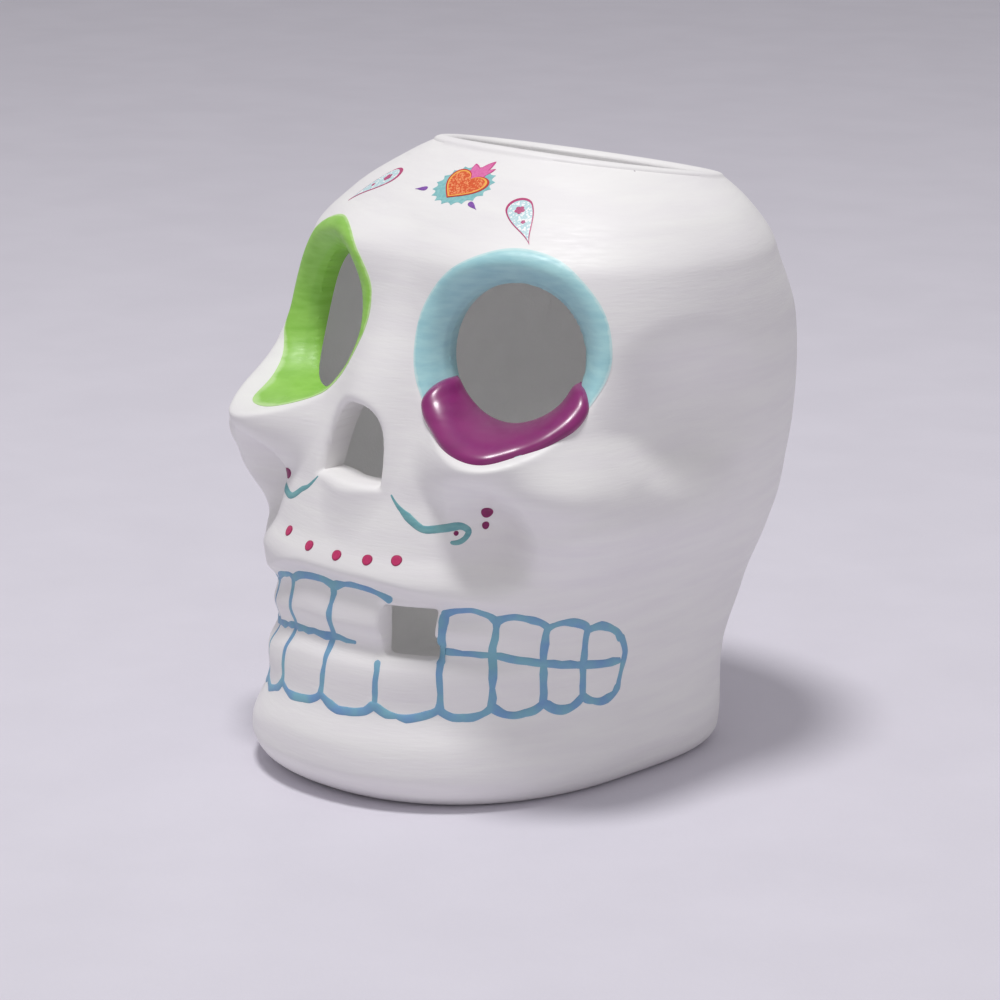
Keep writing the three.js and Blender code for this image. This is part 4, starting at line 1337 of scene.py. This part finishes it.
@dataclass
class ToothLines:
    """The painted outlines of the teeth: two scalloped edges, the bite and the sides of each tooth."""

    strokes: Strokes
    width: float = 2.25
    arch: float = 1.9
    arch_power: float = 0.7
    arch_shares: tuple[float, ...] = (0.0, 0.12, 0.3, 0.5, 0.72, 0.9, 1.0)
    root_sag: float = 2.4
    overrun: float = 1.8
    end_bulge: float = 2.0
    end_fall: float = 3.5
    crown_fall: float = 0.4
    root_lift: float = 0.6
    waist: float = 0.9
    bite_end: float = 1.5
    bite_start: float = 2.9
    bite_start_turns: tuple[float, float] = (1.5, 4.0)
    stub_fall: float = 3.8
    stub_width: float = 2.5
    sharp_angle: float = math.radians(60)

    def scallop(self, start: Sequence[float], end: Sequence[float], rise: float) -> list[tuple[float, ...]]:
        """Draw one arch between two corners.

        Args:
            start: turn and height of the first corner.
            end: turn and height of the last.
            rise: how far it arches up, or sags if it is negative.

        Returns:
            Points of turn, height and width.
        """
        points = []
        for share in self.arch_shares:
            turn = start[0] + (end[0] - start[0]) * share
            level = start[1] + (end[1] - start[1]) * share
            points.append((turn, level + rise * math.sin(math.pi * share) ** self.arch_power, self.width))
        return points

    def lines(self) -> list[list[tuple[float, ...]]]:
        """Lay out the lines.

        Returns:
            Points of turn, height and width for each line.
        """
        surface = self.strokes.casting.surface
        edges = surface.tooth_edges
        gap = surface.gap_tooth
        last = edges[-1]

        def crown(edge: float) -> tuple[float, float]:
            """The upper corner at an edge."""
            fall = self.end_fall if abs(edge) == last else self.crown_fall
            return edge, float(surface.upper(np.array(edge))) - fall

        def bite(turn: float, width: float = self.width) -> tuple[float, float, float]:
            """A point of the bite."""
            return turn, float(surface.bite(np.array(turn))), width

        def root(edge: float) -> tuple[float, float]:
            """The lower corner at an edge."""
            return edge, float(surface.root(np.array(edge))) + self.root_lift

        lines = []
        for i, (start, end) in enumerate(zip(edges, edges[1:])):
            if i != gap:
                past = self.overrun if i + 1 == gap else 0.0
                lines.append(self.scallop(crown(start), (end + past, crown(end)[1]), self.arch))
            lines.append(self.scallop(root(start), root(end), -self.root_sag))
        before = [bite(edge) for edge in edges[:gap]]
        lines.append(before + [bite((edges[gap - 1] + edges[gap]) / 2, self.bite_end)])
        after = edges[gap + 1:]
        blob, neck = self.bite_start_turns
        start = [bite(after[0] + blob, self.bite_start), bite(after[0] + neck)]
        lines.append(start + [bite(edge) for edge in after[1:]])
        for i, edge in enumerate(edges):
            bulge = math.copysign(self.end_bulge, edge) if abs(edge) == last else 0.0
            middle = bite(edge + bulge)
            foot = (*root(edge), self.width)
            waist = (edge + bulge / 2, (middle[1] + foot[1]) / 2, self.waist * self.width)
            if i == gap:
                lines.append([(edge, middle[1] - self.stub_fall, self.stub_width), waist, foot])
            else:
                lines.append([(*crown(edge), self.width), middle, waist, foot])
        return lines

    def build(self) -> bpy.types.Object:
        """Build and dress the lines.

        Returns:
            All of them as one piece.
        """
        forms = [self.strokes.stroke(keys) for keys in self.lines()]
        made = [form.as_object(f"tooth_line_{i}") for i, form in enumerate(forms)]
        piece, rest = made[0], made[1:]
        applied(piece, rest, "UNION")
        piece.name = "tooth_lines"
        piece.data.set_sharp_from_angle(angle=self.sharp_angle)
        return settle(piece, BLUE_SLIP, "tooth_outline")


@dataclass
class Curls:
    """The two brushed curls beside the nose."""

    strokes: Strokes
    # Turn in degrees, height and width, from the thin end beside the nose to the hook.
    keys: tuple[tuple[float, float, float], ...] = (
        (12.8, 74.8, 0.5), (15.3, 72.2, 1.1), (18.5, 70.2, 1.6), (24.5, 67.9, 2.0), (28.6, 68.7, 1.9),
        (31.8, 69.0, 1.8), (33.5, 67.5, 1.9), (32.6, 65.5, 1.7), (30.8, 65.4, 0.9),
    )

    def build(self, side: Side) -> bpy.types.Object:
        """Build and dress one curl.

        Args:
            side: which side of the nose.

        Returns:
            The piece.
        """
        keys = [(side.value * turn, height, width) for turn, height, width in self.keys]
        form = self.strokes.stroke(keys)
        return settle(form.as_object(f"{side.word}_curl_stroke"), TEAL_SLIP, f"{side.word}_curl")


@dataclass(frozen=True)
class Spot:
    """A dot of paint: the node it stands for, its turn in degrees, height, radius and stretch upwards."""

    node: str
    turn: float
    height: float
    radius: float
    stretch: float = 1.0


@dataclass
class Prints:
    """Discs of paint and printed transfers that follow the casting, each round its own middle."""

    casting: Casting
    rows: int = 14
    sunk: float = 0.3
    lip_turns: tuple[float, ...] = (-19.5, -8.7, 1.6, 11, 18.8)
    lip_height: float = 59.0
    lip_lift: float = 1.4
    lip_radius: float = 1.4
    dot_low: float = 0.08
    dot_crown: float = 0.14
    dot_columns: int = 40
    dot_points: int = 48
    out_of_round: tuple[float, float] = (0.04, 0.03)
    cheek_spots: tuple[Spot, ...] = (
        Spot("left_cheek_dot_large", 36.8, 72.2, 1.4, 1.3),
        Spot("left_cheek_dot_small", 36.5, 68.6, 0.85, 1.15),
        Spot("right_cheek_dot_large", -27.5, 72.2, 1.4),
        Spot("right_cheek_dot_small", -31, 72.8, 0.85),
        Spot("left_curl_dot", 31.2, 67.3, 0.6),
        Spot("right_curl_dot", -31.2, 67.3, 0.6),
    )

    def disc(self, place: Place, outline: Outline, low: float, crown: float, columns: int) -> Form:
        """Lay a patch inside an outline.

        Args:
            place: the frame in whose plane the outline is.
            outline: its points, seen from the frame's middle.
            low: how far its edge stands off the casting.
            crown: how far its middle stands above its edge.
            columns: points round it.

        Returns:
            The closed form, with the share of the way to the edge as ring.
        """
        angles = all_round(columns)
        ring = np.sqrt(np.linspace(0, 1, self.rows))[:, None] + 0 * angles
        reach = ring * star_radius(outline)(angles)
        landed = self.casting.lay(place, reach * np.cos(angles), reach * np.sin(angles))[0]
        lift = low + crown * np.sqrt(np.clip(1 - ring**4, 0, 1))
        top = landed + lift[..., None] * place.out
        return patch(top, landed - self.sunk * place.out, {"ring": ring}, wrap=True)

    def circle(self, radius: float) -> Outline:
        """Draw a dot, a little out of round as a brush leaves it.

        Args:
            radius: its mean radius.

        Returns:
            The outline.
        """
        angles = all_round(self.dot_points)
        oval, three_sided = self.out_of_round
        reach = radius * (1 + oval * np.sin(2 * angles + 1) + three_sided * np.sin(3 * angles))
        return on_circle(angles, reach)

    def dot(self, spot: Spot, finish: Finish) -> bpy.types.Object:
        """Build and dress one dot.

        Args:
            spot: where it is and how big.
            finish: its paint.

        Returns:
            The piece.
        """
        place = self.casting.surface.place(spot.turn, spot.height)
        outline = self.circle(spot.radius) * np.array((1, spot.stretch))
        form = self.disc(place, outline, self.dot_low, self.dot_crown, self.dot_columns)
        return settle(form.as_object(f"{spot.node}_of_paint"), finish, spot.node)

    def dots(self) -> None:
        """Build the row of dots over the lip and the dots on the cheeks and curls."""
        outermost = max(abs(turn) for turn in self.lip_turns)
        for i, turn in enumerate(self.lip_turns, start=1):
            height = self.lip_height + self.lip_lift * (turn / outermost) ** 2
            self.dot(Spot(f"lip_dot_{i}", turn, height, self.lip_radius), PINK_DOT)
        for spot in self.cheek_spots:
            self.dot(spot, MAGENTA_DOT)


def teardrop(length: float, width: float) -> Outline:
    """Give a teardrop's outline, its point down, round the middle of its length.

    Args:
        length: from the point to the crown.
        width: across the round end.

    Returns:
        The outline.
    """
    half, crown = width / 2, length / 2
    shoulder, handle = crown - half, CIRCLE_HANDLE * half
    neck, tip, flank = 0.12 * half, -0.45 * crown, -0.05 * crown
    return bezier(
        (0, -crown), (neck, tip, half, flank, half, shoulder),
        (half, shoulder + handle, handle, crown, 0, crown),
        (-handle, crown, -half, shoulder + handle, -half, shoulder),
        (-half, flank, -neck, tip, 0, -crown),
    )


@dataclass
class FlamingHeart:
    """The transfer in the middle of the forehead: a heart on a frill, with flames and two sparks."""

    prints: Prints
    turn: float = 2.5
    below_rim: float = 8.0
    lean: float = -16.0
    frill_lean: float = -40.0
    squash: float = 0.8
    width: float = 13.4
    frill_radius: float = 8.4
    frill_height: float = 18.6
    frill_points: int = 360
    scallops: int = 18
    scallop_rise: float = 1.1
    scallop_power: float = 0.9
    flame_root: float = 3.0
    sparks: tuple[tuple[str, float, float, float], ...] = (
        ("spark_right", -15.3, 10.1, -75), ("spark_left", 12.9, 11.6, 60),
    )
    spark_size: tuple[float, float] = (4.0, 1.4)
    spark_lift: float = 0.1
    spark_columns: int = 60
    frill_lift: float = 0.06
    frill_columns: int = 300
    flame_lift: float = 0.12
    heart_lift: float = 0.2
    heart_columns: int = 180
    crown: float = 0.04

    def heart(self) -> Outline:
        """Draw the heart, its point down, in shares of half its width.

        Returns:
            The outline round its middle.
        """
        point = (0, -0.95)
        right = ((0.45, -0.6, 1, -0.22, 1, 0.35), (1, 0.95, 0.2, 0.95, 0, 0.4))
        left = ((-0.2, 0.95, -1, 0.95, -1, 0.35), (-1, -0.22, -0.45, -0.6, *point))
        return self.width / 2 * bezier(point, *right, *left)

    def frill(self) -> Outline:
        """Draw the frill, leaf points round an oval.

        Returns:
            The outline round its middle.
        """
        angles = all_round(self.frill_points)
        notch = np.abs(np.sin(angles * self.scallops / 2)) ** self.scallop_power
        stretch = self.frill_height / 2 / self.frill_radius
        return on_circle(angles, self.frill_radius - self.scallop_rise * notch) * np.array((1, stretch))

    def flames(self) -> Outline:
        """Draw the flames by the angle and reach of their tips and notches.

        Returns:
            The outline round their root.
        """
        tips = (
            (-150, 2.2), (-90, 2.0), (-30, 2.2), (20, 3.0), (50, 4.2), (66, 7.4), (73, 5.6), (86, 9.2),
            (100, 5.4), (107, 5.0), (125, 6.8), (138, 4.2), (172, 2.6),
        )
        angles, reach = np.array(tips).T
        return on_circle(np.radians(angles), reach)

    def leant(self, outline: Outline, lean: float) -> Outline:
        """Lean an outline by degrees and squash it to its height on the forehead."""
        c, s = math.cos(math.radians(lean)), math.sin(math.radians(lean))
        return outline @ np.array(((c, s * self.squash), (-s, c * self.squash)))

    def build(self) -> None:
        """Build and dress the frill, the flames, the heart and the sparks."""
        prints = self.prints
        surface = prints.casting.surface
        place = surface.place(self.turn, RIM - self.below_rim)
        root = self.leant(np.array(((0, self.flame_root),)), self.lean)[0]
        above = Place(place.spot(*root), place.side, place.up, place.out)
        frill = self.leant(self.frill(), self.frill_lean)
        flames = self.leant(self.flames(), self.lean)
        heart = self.leant(self.heart(), self.lean)
        layers = (
            ("heart_frill", FRILL_PRINT, place, frill, self.frill_lift, self.frill_columns),
            ("heart_flames", FLAME_PRINT, above, flames, self.flame_lift, self.heart_columns),
            ("heart_body", HEART_PRINT, place, heart, self.heart_lift, self.heart_columns),
        )
        for node, finish, where, outline, lift, columns in layers:
            form = prints.disc(where, outline, lift, self.crown, columns)
            settle(form.as_object(f"{node}_print"), finish, node)
        for node, turn, below, lean in self.sparks:
            spark = surface.place(turn, RIM - below, lean)
            outline = teardrop(*self.spark_size)
            form = prints.disc(spark, outline, self.spark_lift, PRINT_CROWN, self.spark_columns)
            settle(form.as_object(f"{node}_print"), SPARK_PRINT, node)


@dataclass
class Drops:
    """The two glitter teardrops over the brows, each with a small printed blossom."""

    prints: Prints
    turns: tuple[float, float] = (32.5, -41.2)
    below_rim: tuple[float, float] = (13.4, 12.0)
    length: float = 16.8
    width: float = 6.8
    lean: float = 30.0
    lift: float = 0.1
    columns: int = 160
    petals: int = 5
    petal_depth: float = 0.28
    petal_points: int = 120
    blossoms: tuple[tuple[str, float, float], ...] = (("blossom", 0.24, 1.35), ("bud", -0.02, 0.6))
    blossom_lift: float = 0.2
    blossom_columns: int = 60

    def blossom(self, radius: float) -> Outline:
        """Draw a small flower.

        Args:
            radius: how far its petals reach.

        Returns:
            The outline.
        """
        angles = all_round(self.petal_points)
        notch = 1 - np.abs(np.sin(angles * self.petals / 2))
        return on_circle(angles, radius * (1 - self.petal_depth * notch))

    def build(self, side: Side) -> None:
        """Build and dress one drop and what is printed on it.

        Args:
            side: which brow it is over.
        """
        surface = self.prints.casting.surface
        which = list(Side).index(side)
        place = surface.place(self.turns[which], RIM - self.below_rim[which], side.value * self.lean)
        outline = teardrop(self.length, self.width)
        form = self.prints.disc(place, outline, self.lift, PRINT_CROWN, self.columns)
        node = f"{side.word}_drop"
        settle(form.as_object(f"{node}_print"), DROP_PRINT, node)
        for name, aloft, radius in self.blossoms:
            middle = Place(place.at + aloft * self.length * place.up, place.side, place.up, place.out)
            outline = self.blossom(radius)
            form = self.prints.disc(middle, outline, self.blossom_lift, PRINT_CROWN, self.blossom_columns)
            piece = form.as_object(f"{node}_{name}")
            piece.data.materials.append(material_of(BLOSSOM_PRINT))
            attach(piece, BODY)
            log.info("%s lies on %s", piece.name, node)


@dataclass
class Studio:
    """A pale floor, soft light from above and the photograph's camera, in metres."""

    eye: tuple[float, float, float] = (0.6394, -0.6601, 0.3079)
    target: tuple[float, float, float] = (0.002, 0.0, 0.062)
    lens: float = 136.8
    sensor: float = 36.0
    floor_half: float = 6.0
    key: tuple[float, float, float] = (-0.02, -0.2, 1.6)
    key_size: float = 0.36
    key_power: float = 14.0
    fill: tuple[float, float, float] = (1.1, -0.9, 0.7)
    fill_size: float = 1.2
    fill_power: float = 1.0
    world_colour: str = "f4f3f6"
    world_level: float = 0.44

    def aim(self, thing: bpy.types.Object, at: Sequence[float]) -> None:
        """Place a light or the camera and turn it to the target.

        Args:
            thing: the light or camera.
            at: where it goes.
        """
        thing.location = at
        thing.rotation_euler = (Vector(self.target) - Vector(at)).to_track_quat("-Z", "Y").to_euler()
        bpy.context.scene.collection.objects.link(thing)

    def lamp(self, name: str, at: Sequence[float], size: float, power: float) -> None:
        """Hang one soft light.

        Args:
            name: the light's name.
            at: where it hangs.
            size: the width of its disc.
            power: its power in watts.
        """
        light = bpy.data.lights.new(name, "AREA")
        light.shape = "DISK"
        light.size = size
        light.energy = power
        self.aim(bpy.data.objects.new(name, light), at)

    def build(self) -> None:
        """Build the floor, the lights, the world and the camera."""
        half = self.floor_half / MM
        corners = np.array(((-half, -half, 0), (half, -half, 0), (half, half, 0), (-half, half, 0)))
        floor = Form(corners, [(0, 1, 2, 3)]).as_object("studio_floor")
        floor.data.materials.append(material_of(BACKDROP_PAPER))
        self.lamp("key_light", self.key, self.key_size, self.key_power)
        self.lamp("fill_light", self.fill, self.fill_size, self.fill_power)
        world = bpy.data.worlds.new("studio_world")
        world.use_nodes = True
        backdrop = world.node_tree.nodes["Background"]
        backdrop.inputs["Color"].default_value = linear(self.world_colour)
        backdrop.inputs["Strength"].default_value = self.world_level
        scene = bpy.context.scene
        scene.world = world
        scene.view_settings.view_transform = "Standard"
        camera = bpy.data.cameras.new("photo_camera")
        camera.lens = self.lens
        camera.sensor_width = self.sensor
        taken = bpy.data.objects.new("photo_camera", camera)
        self.aim(taken, self.eye)
        scene.camera = taken


def main() -> None:
    """Build the studio and every piece of the skull."""
    logging.basicConfig(level=logging.INFO, format="%(name)s: %(message)s")
    Studio().build()
    casting = Casting(CastingSurface())
    casting.build()
    coats = SocketCoats(casting)
    for side, finish in SOCKET_FINISH.items():
        coats.build(side, finish)
    EnamelPool(casting).build()
    strokes = Strokes(casting)
    ToothLines(strokes).build()
    curls = Curls(strokes)
    prints = Prints(casting)
    drops = Drops(prints)
    for side in Side:
        curls.build(side)
        drops.build(side)
    prints.dots()
    FlamingHeart(prints).build()
    bpy.context.view_layer.update()


if __name__ == "__main__":
    main()
